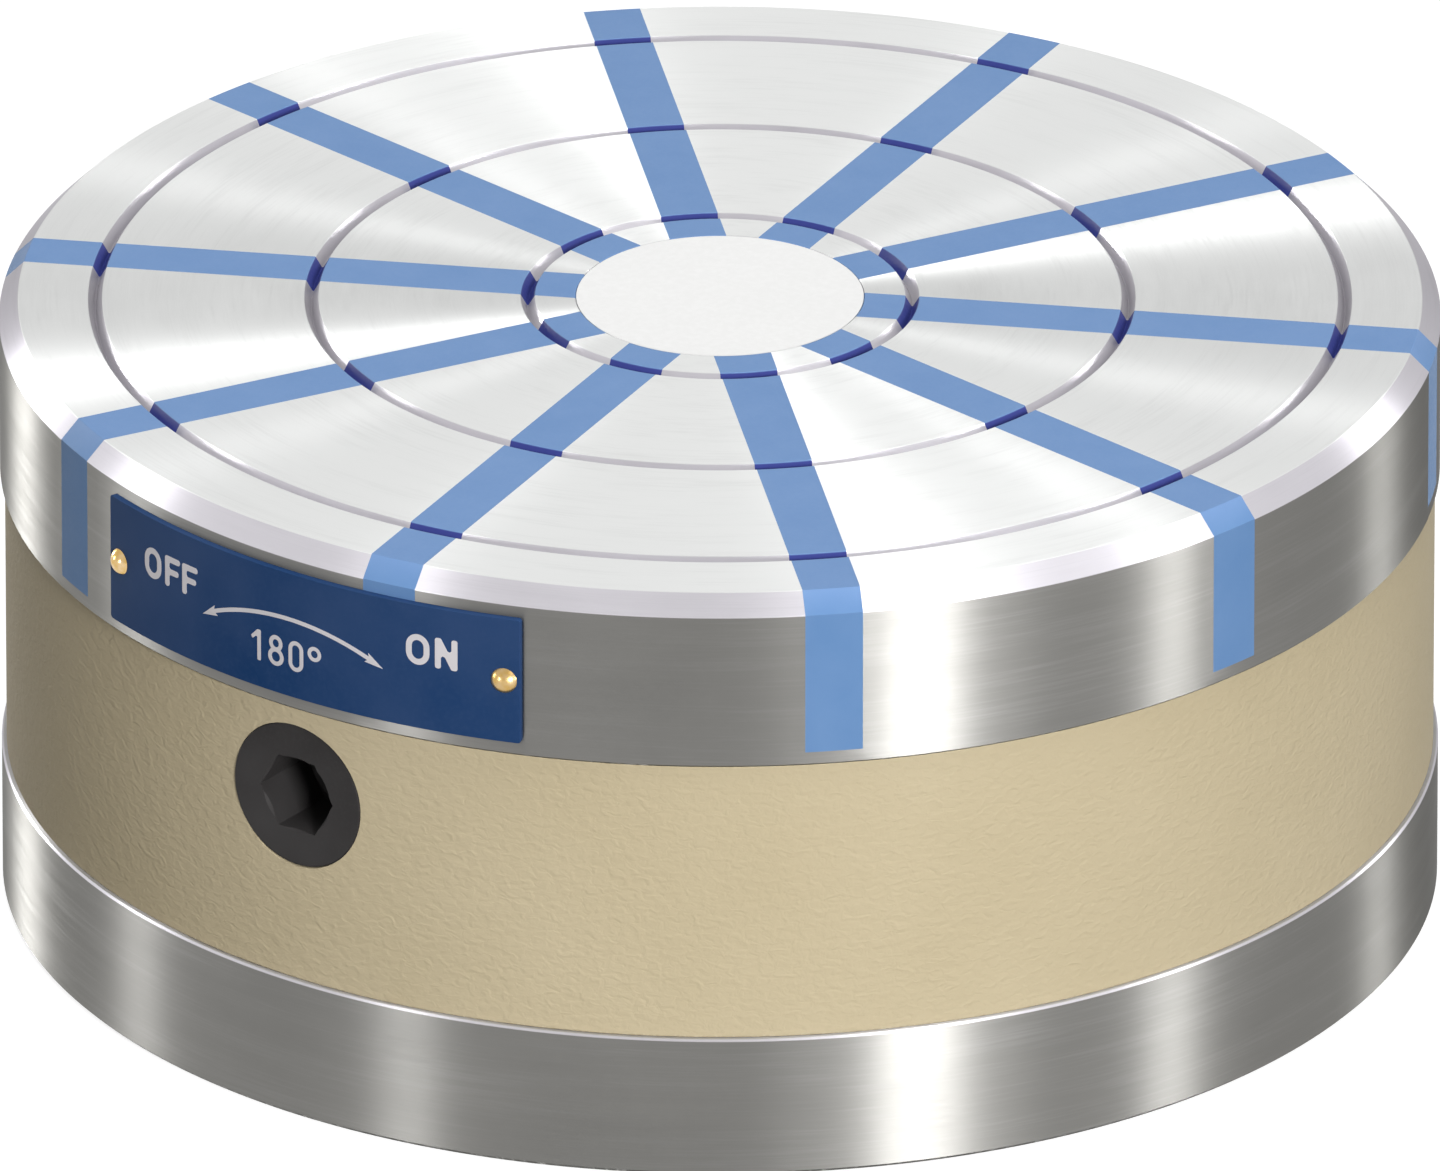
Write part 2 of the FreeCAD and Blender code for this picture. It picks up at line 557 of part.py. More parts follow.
def make_pole_gap(doc, number):
    """Non-magnetic bar that fills one pole gap, flush with the face, the chamfer and the rim."""
    body = new_body(doc, f"pole_gap_{number:02d}", key_azimuth(f"gap_angle + {number - 1} * pole_pitch"))
    sketch = new_sketch(body, "XY_Plane", height="gap_floor")
    draw_outline(sketch, gap_bar_outline())
    add_feature(body, "Pad", sketch, Length="chuck_top - gap_floor")
    groove_count = round(measure(doc, "groove_count"))
    cut_round(body, [
        ("chuck_radius + 3 * gap_width", "gap_floor - gap_width"),
        ("chuck_radius", "gap_floor - gap_width"),
        ("chuck_radius", "chuck_top - top_chamfer"),
        ("chuck_radius - top_chamfer", "chuck_top"),
        *centring_grooves(groove_count),
        ("plug_radius / 2", "chuck_top"),
        ("plug_radius / 2", "chuck_top + gap_width"),
        ("chuck_radius + 3 * gap_width", "chuck_top + gap_width"),
    ])
    wall = plug_seat("2 * seat")
    cut_round(body, [
        ("0", "chuck_top + gap_width"),
        ("plug_radius + 2 * seat", "chuck_top + gap_width"),
        *wall[1:3],
        ("plug_radius + plug_lip + 2 * seat", "gap_floor - gap_width"),
        ("0", "gap_floor - gap_width"),
    ])
    return body


def make_centre_plug(doc):
    """Bright round plug in the middle of the clamping face, held by a lip under the poles."""
    body = new_body(doc, "centre_plug")
    revolve(body, [("0", "chuck_top"), *plug_seat("0"), ("0", "gap_floor")])
    return body


def make_nameplate(doc):
    """Thin curved plate on the rim of the pole plate, above the key shaft."""
    body = new_body(doc, "nameplate", key_azimuth("0"))
    sketch = new_sketch(body, "XY_Plane", height="label_top - label_height")
    draw_sector(sketch, "label_radius", "label_radius + label_thickness", "label_half_angle",
                "label_half_angle")
    add_feature(body, "Pad", sketch, Length="label_height")
    for azimuth in ("rivet_angle", "-rivet_angle"):
        hole = new_side_sketch(body, "chuck_radius", azimuth)
        draw_circle(hole, "0", "rivet_z", "rivet_shank_radius + seat")
        add_feature(body, "Pocket", hole, Length="2 * rivet_length", Reversed=True)
    return body


def make_nameplate_rivets(doc):
    """Two domed drive rivets through the nameplate into the pole plate."""
    body = new_body(doc, "nameplate_rivets", key_azimuth("-rivet_angle"))
    sketch = new_sketch(body, "XZ_Plane", lift="rivet_z")
    draw_outline(sketch, [
        ("chuck_radius - rivet_length + rivet_clearance", "0"),
        ("chuck_radius - rivet_length + rivet_clearance", "rivet_shank_radius"),
        ("rivet_seat_radius", "rivet_shank_radius"),
        ("rivet_seat_radius", "rivet_head_radius"),
        ("rivet_seat_radius + rivet_head_height", "0"),
    ], round_side=3, radius="rivet_dome_radius")
    rivet = add_feature(body, "Revolution", sketch, axis="H_Axis")
    add_pattern(body, [rivet], "2", "2 * rivet_angle")
    return body


def cap_screw(body, circle_radius, radius, head_radius, seat_z, tip_z, head_height):
    """Turn one socket head cap screw, head down, and sink its hexagon socket."""
    head_z = f"{seat_z} - {head_height}"
    sketch = new_sketch(body, "XZ_Plane", shift=circle_radius)
    draw_outline(sketch, [
        ("0", head_z),
        (head_radius, head_z),
        (head_radius, seat_z),
        (radius, seat_z),
        (radius, tip_z),
        ("0", tip_z),
    ])
    turned = add_feature(body, "Revolution", sketch)
    socket = new_sketch(body, "XY_Plane", height=head_z, shift=circle_radius)
    draw_hexagon(socket, f"({radius}) * 5 / 6")
    sunk = add_feature(body, "Pocket", socket, Length=f"({head_height}) * 0.5", Reversed=True)
    return [turned, sunk]


def draw_hexagon(sketch, half_flats):
    """Draw a hexagon about the sketch's origin, with two corners on its X axis."""
    corner = f"({half_flats}) / cos(30 deg)"
    draw_outline(sketch, [
        (f"{corner} * cos({turn} deg)", f"{corner} * sin({turn} deg)") for turn in range(0, 360, 60)])


def make_body_screws(doc):
    """Cap screws from below, through the base and the housing into the poles."""
    body = new_body(doc, "body_screws", key_azimuth("body_screw_angle"))
    screw = cap_screw(body, "body_screw_circle_radius", "body_screw_radius", "body_screw_head_radius",
                      "body_screw_sink", "housing_top + body_screw_grip", "2 * body_screw_radius")
    add_pattern(body, screw, "pole_count")
    return body


def make_dowel_pins(doc):
    """Two dowels at each joint, which fix the azimuth of the poles, the housing and the base."""
    body = new_body(doc, "dowel_pins", key_azimuth("dowel_angle"))
    pins = []
    for joint in ("base_top", "housing_top"):
        sketch = new_sketch(body, "XY_Plane", height=f"{joint} - dowel_depth + dowel_clearance")
        draw_circle(sketch, "body_screw_circle_radius", "0", "dowel_radius")
        pins.append(add_feature(body, "Pad", sketch, Length="2 * (dowel_depth - dowel_clearance)"))
    add_pattern(body, pins, "2")
    return body


def make_ring_seal(doc, label, inner_radius, outer_radius, floor, height):
    """Rubber ring of rectangular section about its own Z axis."""
    body = new_body(doc, label)
    revolve(body, [
        (inner_radius, floor),
        (outer_radius, floor),
        (outer_radius, f"{floor} + {height}"),
        (inner_radius, f"{floor} + {height}"),
    ])
    return body


def make_base_seal(doc):
    """Rubber ring in the housing's groove, which seals the joint with the base."""
    return make_ring_seal(doc, "base_seal", "base_seal_radius + seat",
                          "base_seal_radius + base_seal_width - seat",
                          "base_top", "base_seal_width - seat")


def make_shaft_seal(doc):
    """Rubber ring in the key shaft's groove, which keeps coolant out."""
    seal = make_ring_seal(doc, "shaft_seal", "seal_floor_radius + seat", "key_radius + seat",
                          "seal_place - seal_width / 2", "seal_width")
    lay_along_key(seal)
    return seal


def make_pivot_pin(doc):
    """Shouldered steel pivot, pressed in from below so that the magnets can't pull it up."""
    body = new_body(doc, "pivot_pin")
    revolve(body, [
        ("0", "pivot_head_floor"),
        ("pivot_head_radius", "pivot_head_floor"),
        ("pivot_head_radius", "pivot_head_top"),
        ("pivot_radius", "pivot_head_top"),
        ("pivot_radius", "ring_floor"),
        ("pivot_radius - ring_groove_depth", "ring_floor"),
        ("pivot_radius - ring_groove_depth", "ring_top + seat"),
        ("pivot_radius", "ring_top + seat"),
        ("pivot_radius", "gap_floor - 2 * air_gap - edge_break"),
        ("pivot_radius - edge_break", "gap_floor - 2 * air_gap"),
        ("0", "gap_floor - 2 * air_gap"),
    ])
    return body


def make_retaining_ring(doc):
    """Open ring in the pivot's groove, which holds the rotor down against the poles' pull."""
    body = new_body(doc, "retaining_ring")
    sketch = new_sketch(body, "XY_Plane", height="ring_floor + seat / 2")
    draw_sector(sketch, "pivot_radius - ring_groove_depth + seat", "pivot_radius + ring_width",
                "ring_half_angle", "ring_half_angle")
    add_feature(body, "Pad", sketch, Length="ring_thickness")
    return body


def make_bearing_washer(doc, label, floor):
    """Flat hardened washer of the thrust bearing."""
    body = new_body(doc, label)
    revolve(body, [
        ("bearing_inner_radius", floor),
        ("bearing_outer_radius", floor),
        ("bearing_outer_radius", f"{floor} + washer_height"),
        ("bearing_inner_radius", f"{floor} + washer_height"),
    ])
    return body


def make_bearing_cage(doc):
    """Flat cage with a radial window for each needle."""
    body = new_body(doc, "bearing_cage")
    revolve(body, [
        ("bearing_inner_radius + cage_inset", "needle_floor + cage_gap"),
        ("bearing_outer_radius - cage_inset", "needle_floor + cage_gap"),
        ("bearing_outer_radius - cage_inset", "needle_top - cage_gap"),
        ("bearing_inner_radius + cage_inset", "needle_top - cage_gap"),
    ])
    sketch = new_sketch(body, "XY_Plane", height="needle_floor")
    reach = "(needle_length / 2 + running)"
    draw_outline(sketch, [
        (f"bearing_mean_radius - {reach}", "-needle_radius - seat"),
        (f"bearing_mean_radius + {reach}", "-needle_radius - seat"),
        (f"bearing_mean_radius + {reach}", "needle_radius + seat"),
        (f"bearing_mean_radius - {reach}", "needle_radius + seat"),
    ])
    window = add_feature(body, "Pocket", sketch, Length="2 * needle_radius", Reversed=True)
    add_pattern(body, [window], "needle_count")
    return body


def make_bearing_needles(doc):
    """Needles of the thrust bearing, each in its window of the cage."""
    body = new_body(doc, "bearing_needles")
    sketch = new_sketch(body, "YZ_Plane", height="bearing_mean_radius - needle_length / 2")
    draw_circle(sketch, "0", "needle_floor + needle_radius", "needle_radius - seat")
    needle = add_feature(body, "Pad", sketch, Length="needle_length")
    add_pattern(body, [needle], "needle_count")
    return body


# ---------------------------------------------------------------- rotor

def make_rotor_yoke(doc):
    """Steel disc that closes the magnets' circuit below and carries the toothed segment."""
    body = new_body(doc, "rotor_yoke")
    revolve(body, [
        ("rotor_bore_radius + seat", "yoke_floor"),
        ("rotor_radius", "yoke_floor"),
        ("rotor_radius", "yoke_top"),
        ("rotor_bore_radius + seat", "yoke_top"),
    ])
    shank = drill(body, "hub_screw_circle_radius", "hub_screw_radius + screw_clearance / 2",
                  "yoke_floor", "yoke_height")
    add_pattern(body, [shank], "hub_screw_count")
    head = drill(body, "hub_screw_circle_radius", "hub_screw_head_radius + screw_clearance / 2",
                 "yoke_floor", "2 * hub_screw_radius + screw_clearance")
    add_pattern(body, [head], "hub_screw_count")
    for side in (-1, 1):
        azimuth = key_azimuth(f"segment_angle + {side} * segment_screw_angle")
        drill(body, "segment_screw_circle_radius", "segment_screw_radius + seat",
              "yoke_top - yoke_height / 2", "yoke_height / 2", azimuth)
    return body


def make_rotor_spider(doc):
    """Aluminium star with a pocket for each magnet, a hub and a rim."""
    body = new_body(doc, "rotor_spider")
    revolve(body, [
        ("rotor_bore_radius + seat", "yoke_top"),
        ("spider_radius", "yoke_top"),
        ("spider_radius", "rotor_top"),
        ("hub_recess_radius", "rotor_top"),
        ("hub_recess_radius", "hub_floor"),
        ("rotor_bore_radius + seat", "hub_floor"),
    ])
    sketch = new_sketch(body, "XY_Plane", height="yoke_top", azimuth=key_azimuth("rotor_angle"))
    draw_magnet_outline(sketch, "0")
    pocket = add_feature(body, "Pocket", sketch, Length="rotor_top - yoke_top", Reversed=True)
    add_pattern(body, [pocket], "pole_count")
    thread = drill(body, "hub_screw_circle_radius", "hub_screw_radius + seat", "yoke_top",
                   "magnet_height / 2 + thread_clearance")
    add_pattern(body, [thread], "hub_screw_count")
    return body


def draw_magnet_outline(sketch, clearance):
    """Draw the sector between two arms, drawn in by a clearance on every side."""
    inner = f"hub_radius + {clearance}"
    outer = f"spider_bore_radius - {clearance}"
    half_arm = f"(spider_arm / 2 + {clearance})"
    angles = [f"180 deg / pole_count - asin({half_arm} / ({radius}))" for radius in (inner, outer)]
    draw_sector(sketch, inner, outer, *angles)


def make_magnet_piece(doc, label, number, floor, top):
    """Sector-shaped piece of one magnet stack, between two arms of the spider."""
    body = new_body(doc, f"{label}_{number:02d}", key_azimuth(f"rotor_angle + {number - 1} * pole_pitch"))
    sketch = new_sketch(body, "XY_Plane", height=floor)
    draw_magnet_outline(sketch, "bond_gap")
    add_feature(body, "Pad", sketch, Length=f"{top} - {floor}")
    return body


def make_rotor_bush(doc):
    """Bronze bush between the rotor and its pivot."""
    body = new_body(doc, "rotor_bush")
    revolve(body, [
        ("pivot_radius + running", "yoke_floor"),
        ("rotor_bore_radius", "yoke_floor"),
        ("rotor_bore_radius", "hub_floor"),
        ("pivot_radius + running", "hub_floor"),
    ])
    return body


def make_thrust_washer(doc):
    """Bronze washer between the rotor's hub and the retaining ring."""
    body = new_body(doc, "thrust_washer")
    revolve(body, [
        ("pivot_radius + running", "hub_floor"),
        ("hub_recess_radius - screw_clearance", "hub_floor"),
        ("hub_recess_radius - screw_clearance", "hub_floor + thrust_washer_height"),
        ("pivot_radius + running", "hub_floor + thrust_washer_height"),
    ])
    return body


def make_hub_screws(doc):
    """Small cap screws from the yoke up into the spider's hub."""
    body = new_body(doc, "hub_screws")
    screw = cap_screw(body, "hub_screw_circle_radius", "hub_screw_radius", "hub_screw_head_radius",
                      "yoke_floor + 2 * hub_screw_radius + screw_clearance", "yoke_top + magnet_height / 2",
                      "2 * hub_screw_radius")
    add_pattern(body, screw, "hub_screw_count")
    return body


def make_segment_screws(doc):
    """Countersunk screws that hold the toothed segment on the yoke."""
    body = new_body(doc, "segment_screws", key_azimuth("segment_angle - segment_screw_angle"))
    screw = revolve(body, [
        ("0", "yoke_top - yoke_height / 2 + screw_clearance"),
        ("segment_screw_radius", "yoke_top - yoke_height / 2 + screw_clearance"),
        ("segment_screw_radius", "segment_top - segment_screw_radius - 2 * seat"),
        ("2 * segment_screw_radius", "segment_top - 2 * seat"),
        ("0", "segment_top - 2 * seat"),
    ], shift="segment_screw_circle_radius")
    add_pattern(body, [screw], "2", "2 * segment_screw_angle")
    return body


class ToothSizes:
    """Sizes of the bevel mesh in the plane square to the pinion's axis, at the teeth's outer end."""

    def __init__(self, doc):
        self.outer = measure(doc, "tooth_outer")
        self.inner = measure(doc, "tooth_inner")
        self.teeth = round(measure(doc, "pinion_tooth_count"))
        self.ratio = measure(doc, "gear_ratio")
        self.pitch_radius = self.outer / self.ratio
        self.module = 2 * self.pitch_radius / self.teeth
        self.pressure = math.radians(measure(doc, "pressure_angle"))
        self.shift = measure(doc, "tooth_shift_ratio")
        self.clearance = measure(doc, "tooth_root_ratio")
        self.backlash = measure(doc, "backlash_width")
        self.sink = measure(doc, "tooth_sink")
        self.tip_radius = self.pitch_radius + (1 + self.shift) * self.module
        self.root_radius = self.pitch_radius - (1 + self.clearance - self.shift) * self.module
        self.base_radius = self.pitch_radius * math.cos(self.pressure)
        self.rack_tip = (1 - self.shift) * self.module
        self.rack_root = (1 + self.clearance + self.shift) * self.module
        widened = 2 * self.shift * self.module * math.tan(self.pressure)
        self.pinion_thickness = math.pi * self.module / 2 + widened - self.backlash
        self.rack_thickness = math.pi * self.module / 2 - widened

    def half_angle(self, radius):
        """Return the pinion tooth's half angle at a radius, on its involute flank."""
        def involute(angle):
            return math.tan(angle) - angle
        local = math.acos(min(1.0, self.base_radius / radius))
        return self.pinion_thickness / (2 * self.pitch_radius) + involute(self.pressure) - involute(local)


def pinion_wire(tooth, distance):
    """Return the pinion's closed outline at a distance from the apex, with a gap facing down."""
    scale = distance / tooth.outer

    def point(radius, angle):
        return FreeCAD.Vector(radius * scale * math.sin(angle), -radius * scale * math.cos(angle), distance)

    flank = tooth.tip_radius - tooth.base_radius
    flank_radii = [tooth.base_radius + flank * (step / 5) ** 2 for step in range(6)]
    root_half = tooth.half_angle(tooth.base_radius)
    tip_half = tooth.half_angle(tooth.tip_radius)
    pitch = 2 * math.pi / tooth.teeth
    edges = []
    for number in range(tooth.teeth):
        middle = (number + 0.5) * pitch
        before = middle - pitch + root_half
        start = middle - root_half
        valley = [point(tooth.root_radius, angle) for angle in (before, (before + start) / 2, start)]
        edges.append(Part.Arc(*valley).toShape())
        edges.append(Part.makeLine(point(tooth.root_radius, start), point(tooth.base_radius, start)))
        rising = Part.BSplineCurve()
        rising.interpolate([point(r, middle - tooth.half_angle(r)) for r in flank_radii])
        edges.append(rising.toShape())
        land = [point(tooth.tip_radius, middle + share * tip_half) for share in (-1, 0, 1)]
        edges.append(Part.Arc(*land).toShape())
        falling = Part.BSplineCurve()
        falling.interpolate([point(r, middle + tooth.half_angle(r)) for r in reversed(flank_radii)])
        edges.append(falling.toShape())
        edges.append(Part.makeLine(point(tooth.base_radius, middle + root_half),
                                   point(tooth.root_radius, middle + root_half)))
    return Part.Wire(edges)


def make_bevel_pinion(doc):
    """Bevel pinion with involute teeth that taper to the crossing of the two axes."""
    tooth = ToothSizes(doc)
    blank = Part.makeLoft([pinion_wire(tooth, tooth.inner), pinion_wire(tooth, tooth.outer)], True, True)
    hub_radius = measure(doc, "pinion_hub_radius")
    end = measure(doc, "pinion_end")
    back = measure(doc, "key_bush_start")
    front_hub = Part.makeCylinder(hub_radius, tooth.inner - end, FreeCAD.Vector(0, 0, end))
    back_hub = Part.makeCylinder(hub_radius, back - tooth.outer, FreeCAD.Vector(0, 0, tooth.outer))
    bore_radius = measure(doc, "spigot_pin_radius + seat")
    bore = Part.makeCylinder(bore_radius, back - end, FreeCAD.Vector(0, 0, end))
    cross = Part.makeCylinder(measure(doc, "cross_pin_radius + seat"), 4 * hub_radius,
                              FreeCAD.Vector(-2 * hub_radius, 0, end + (tooth.inner - end) / 2),
                              FreeCAD.Vector(1, 0, 0))
    shape = blank.fuse([front_hub, back_hub]).removeSplitter().cut([bore, cross])
    return add_shape(doc, "bevel_pinion", shape, along_key=True)


def add_shape(doc, label, shape, along_key=False):
    """Hold a finished shape as a sub-part of the document."""
    part = doc.addObject("Part::Feature", label)
    part.Label = label
    part.Shape = shape
    part.Placement = FreeCAD.Placement()
    if along_key:
        lay_along_key(part)
    doc.recompute()
    return part


def rack_tooth(tooth, key_z, reach_in, reach_out):
    """Return one tooth of the segment, straight-sided and tapering to the apex, facing the key."""
    def outline(distance):
        scale = distance / tooth.outer
        slope = math.tan(tooth.pressure)
        corners = []
        for height in (-tooth.rack_root - tooth.sink, tooth.rack_tip):
            half = tooth.rack_thickness / 2 - height * slope
            up = key_z + (height - tooth.pitch_radius) * scale
            pair = [FreeCAD.Vector(side * half * scale, -distance, up) for side in (-1, 1)]
            corners += pair if not corners else reversed(pair)
        return Part.makePolygon(corners + corners[:1])
    return Part.makeLoft([outline(reach_in), outline(reach_out)], True, True)


def ring_sector(corners, half_angle, middle):
    """Return the solid that an outline of (radius, height) corners sweeps about Z."""
    wire = Part.makePolygon([FreeCAD.Vector(r, 0, z) for r, z in corners + corners[:1]])
    solid = Part.Face(wire).revolve(FreeCAD.Vector(), FreeCAD.Vector(0, 0, 1), 2 * half_angle)
    solid.rotate(FreeCAD.Vector(), FreeCAD.Vector(0, 0, 1), middle - half_angle)
    return solid


def make_toothed_segment(doc):
    """Toothed arc of the rotor: the part of a crown wheel that the pinion meets in half a turn."""
    tooth = ToothSizes(doc)
    key_z = measure(doc, "key_z")
    floor = measure(doc, "yoke_top")
    lug_top = measure(doc, "segment_top")
    rim = measure(doc, "rotor_radius")
    inner = measure(doc, "segment_inner")
    overrun = tooth.module
    count = round(measure(doc, "segment_teeth"))
    pitch = measure(doc, "tooth_pitch")
    middle = KEY_AZIMUTH + measure(doc, "segment_angle")

    def root(radius):
        return key_z - (tooth.pitch_radius + tooth.rack_root) * radius / tooth.outer

    def tip(radius):
        return key_z - (tooth.pitch_radius - tooth.rack_tip) * radius / tooth.outer

    half = count * pitch / 2
    lug_inner = measure(doc, "lug_inner")
    base = ring_sector([(lug_inner, floor), (rim, floor), (rim, lug_top), (lug_inner, lug_top)],
                       half + measure(doc, "segment_lug_angle"), middle)
    block = ring_sector([(inner, floor), (rim, floor), (rim, root(rim)), (inner, root(inner))],
                        half, middle)
    envelope = ring_sector([(inner, floor), (rim, floor), (rim, tip(rim)), (inner, tip(inner))],
                           half, middle)
    teeth = []
    for number in range(count):
        shape = rack_tooth(tooth, key_z, inner - overrun, rim + overrun)
        azimuth = (number - measure(doc, "spare_tooth_count")) * pitch
        shape.rotate(FreeCAD.Vector(), FreeCAD.Vector(0, 0, 1), azimuth)
        teeth.append(shape)
    shape = base.fuse([block] + [one.common(envelope) for one in teeth])
    screw_radius = measure(doc, "segment_screw_radius")
    circle_radius = measure(doc, "segment_screw_circle_radius")
    for side in (-1, 1):
        angle = math.radians(middle + side * measure(doc, "segment_screw_angle"))
        foot = FreeCAD.Vector(circle_radius * math.cos(angle), circle_radius * math.sin(angle), floor)
        top = foot + FreeCAD.Vector(0, 0, lug_top - floor - screw_radius - measure(doc, "bond_gap"))
        shape = shape.cut([Part.makeCylinder(screw_radius + measure(doc, "screw_clearance"), lug_top, foot),
                           Part.makeCone(screw_radius, 3 * screw_radius, 2 * screw_radius, top)])
    return add_shape(doc, "toothed_segment", shape)


# ---------------------------------------------------------------- key shaft

def make_key_shaft(doc):
    """Key shaft with its hexagon socket, seal groove, stop groove and the pinion's spigot."""
    body = new_body(doc, "key_shaft_turned")
    revolve(body, [
        ("0", "pinion_end"),
        ("spigot_pin_radius", "pinion_end"),
        ("spigot_pin_radius", "key_bush_start + seat"),
        ("key_radius", "key_bush_start + seat"),
        ("key_radius", "seal_place - seal_half_width"),
        ("seal_floor_radius", "seal_place - seal_half_width"),
        ("seal_floor_radius", "seal_place + seal_half_width"),
        ("key_radius", "seal_place + seal_half_width"),
        ("key_radius", "key_end - edge_break / 2"),
        ("key_radius - edge_break / 2", "key_end"),
        ("0", "key_end"),
    ])
    socket = new_sketch(body, "XY_Plane", height="key_end")
    draw_hexagon(socket, "key_flats / 2")
    add_feature(body, "Pocket", socket, Length="socket_depth")
    cut_round(body, [
        ("0", "key_end"),
        ("key_flats / 2 + socket_chamfer", "key_end"),
        ("0", "key_end - key_flats / 2 - socket_chamfer"),
    ])
    cut_round(body, [
        ("0", "key_end - socket_depth + seat"),
        ("key_flats / 2 - seat", "key_end - socket_depth + seat"),
        ("0", "key_end - socket_depth - key_flats / 2 * tan(socket_cone_angle)"),
    ])
    cross = new_sketch(body, "YZ_Plane", height="-2 * spigot_pin_radius")
    draw_circle(cross, "0", "pinion_end + pinion_hub_length / 2", "cross_pin_radius + seat")
    add_feature(body, "Pocket", cross, Length="4 * spigot_pin_radius", Reversed=True)
    shaft = doc.addObject("Part::Cut", "key_shaft")
    shaft.Label = "key_shaft"
    shaft.Base = body
    shaft.Tool = make_stop_groove(doc)
    doc.recompute()
    lay_along_key(shaft)
    doc.recompute()
    return shaft


def make_stop_groove(doc):
    """Return the stop groove that is cut into the shaft: the dog's travel plus its own width."""
    outer = doc.addObject("Part::Cylinder", "stop_groove_outer")
    outer.setExpression("Radius", bound("key_radius + edge_break"))
    core = doc.addObject("Part::Cylinder", "stop_groove_core")
    core.setExpression("Radius", bound("stop_root_radius"))
    side = "asin(stop_half_width / stop_root_radius)"
    turn = FreeCAD.Rotation(FreeCAD.Vector(0, 0, 1), 1)
    for cylinder in (outer, core):
        cylinder.Placement = FreeCAD.Placement(FreeCAD.Vector(), turn)
        cylinder.setExpression("Height", bound("2 * stop_half_width"))
        cylinder.setExpression("Placement.Base.z", bound("stop_place - stop_half_width"))
    outer.setExpression("Angle", bound(f"key_turn_angle * 1 deg + 2 * {side}"))
    outer.setExpression("Placement.Rotation.Angle", bound(f"-90 deg - {side}"))
    groove = doc.addObject("Part::Cut", "stop_groove")
    groove.Base = outer
    groove.Tool = core
    return groove


def make_key_bush(doc):
    """Thin bronze bush of the key shaft, with a hole for the stop screw's dog."""
    body = new_body(doc, "key_bush")
    revolve(body, [
        ("key_radius + running", "key_bush_start"),
        ("key_bush_radius", "key_bush_start"),
        ("key_bush_radius", "key_bush_end"),
        ("key_radius + running", "key_bush_end"),
    ])
    hole = new_sketch(body, "XZ_Plane")
    draw_circle(hole, "0", "stop_place", "stop_screw_radius")
    add_feature(body, "Pocket", hole, Length="2 * key_radius", Reversed=True)
    lay_along_key(body)
    return body


def make_stop_screw(doc):
    """Grub screw with a dog point that runs in the key shaft's stop groove."""
    body = new_body(doc, "stop_screw", key_azimuth("0"))
    tip = "key_z - stop_root_radius - 2 * stop_clearance"
    shoulder = "key_z - key_bush_radius - 2 * stop_clearance"
    revolve(body, [
        ("0", "base_top + 2 * stop_clearance"),
        ("stop_screw_radius", "base_top + 2 * stop_clearance"),
        ("stop_screw_radius", shoulder),
        ("stop_dog_radius", shoulder),
        ("stop_dog_radius", tip),
        ("0", tip),
    ], shift="stop_place")
    return body


def make_pinion_pin(doc):
    """Pin through the pinion's hub and the shaft's spigot."""
    body = new_body(doc, "pinion_pin")
    sketch = new_sketch(body, "YZ_Plane", height="-pinion_hub_radius")
    draw_circle(sketch, "0", "pinion_end + pinion_hub_length / 2", "cross_pin_radius")
    add_feature(body, "Pad", sketch, Length="2 * pinion_hub_radius")
    lay_along_key(body)
    return body


def save(doc, bodies):
    """Check every object and write each sub-part to its own file."""
    doc.recompute()
    for item in doc.Objects:
        if "Invalid" in item.State or "Error" in item.State:
            raise RuntimeError(f"{item.Label} failed: {item.State}")
    for body in bodies:
        if body.Shape.isNull() or not body.Shape.isValid():
            raise RuntimeError(f"{body.Label} has no valid shape")
    os.makedirs("parts", exist_ok=True)
    for body in bodies:
        body.Shape.exportStep(f"parts/{body.Label}.step")


def main():
    """Build the chuck."""
    doc = FreeCAD.newDocument("MagneticChuck")
    add_sizes(doc)
    poles = range(1, round(measure(doc, "pole_count")) + 1)
    parts = [
        make_base_plate(doc),
        make_housing_ring(doc),
        make_pole_plate(doc),
        make_centre_plug(doc),
        make_nameplate(doc),
        make_nameplate_rivets(doc),
        make_body_screws(doc),
        make_dowel_pins(doc),
        make_pivot_pin(doc),
        make_retaining_ring(doc),
        make_bearing_washer(doc, "bearing_washer_lower", "washer_floor"),
        make_bearing_washer(doc, "bearing_washer_upper", "needle_top"),
        make_bearing_cage(doc),
        make_bearing_needles(doc),
        make_rotor_yoke(doc),
        make_rotor_spider(doc),
        make_rotor_bush(doc),
        make_thrust_washer(doc),
        make_hub_screws(doc),
        make_segment_screws(doc),
        make_toothed_segment(doc),
        make_bevel_pinion(doc),
        make_pinion_pin(doc),
        make_key_shaft(doc),
        make_key_bush(doc),
        make_stop_screw(doc),
        make_base_seal(doc),
        make_shaft_seal(doc),
    ]
    parts += [make_pole_gap(doc, number) for number in poles]
    for number in poles:
        parts.append(make_magnet_piece(doc, "magnet", number, "yoke_top", "magnet_top"))
        parts.append(make_magnet_piece(doc, "rotor_pole", number, "magnet_top", "rotor_top"))
    save(doc, parts)


main()
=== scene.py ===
"""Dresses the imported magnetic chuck: plates, pole gaps, nameplate, finishes, light and camera.

Lengths in the classes are millimetres and angles are degrees. An azimuth is measured seen from
above, from the -Y axis, where the key shaft is, towards +X.
"""

import logging
import math
from dataclasses import dataclass
from enum import Enum
from typing import Any, Callable, Collection, Sequence

import bmesh
import bpy
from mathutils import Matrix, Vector
from mathutils.geometry import tessellate_polygon


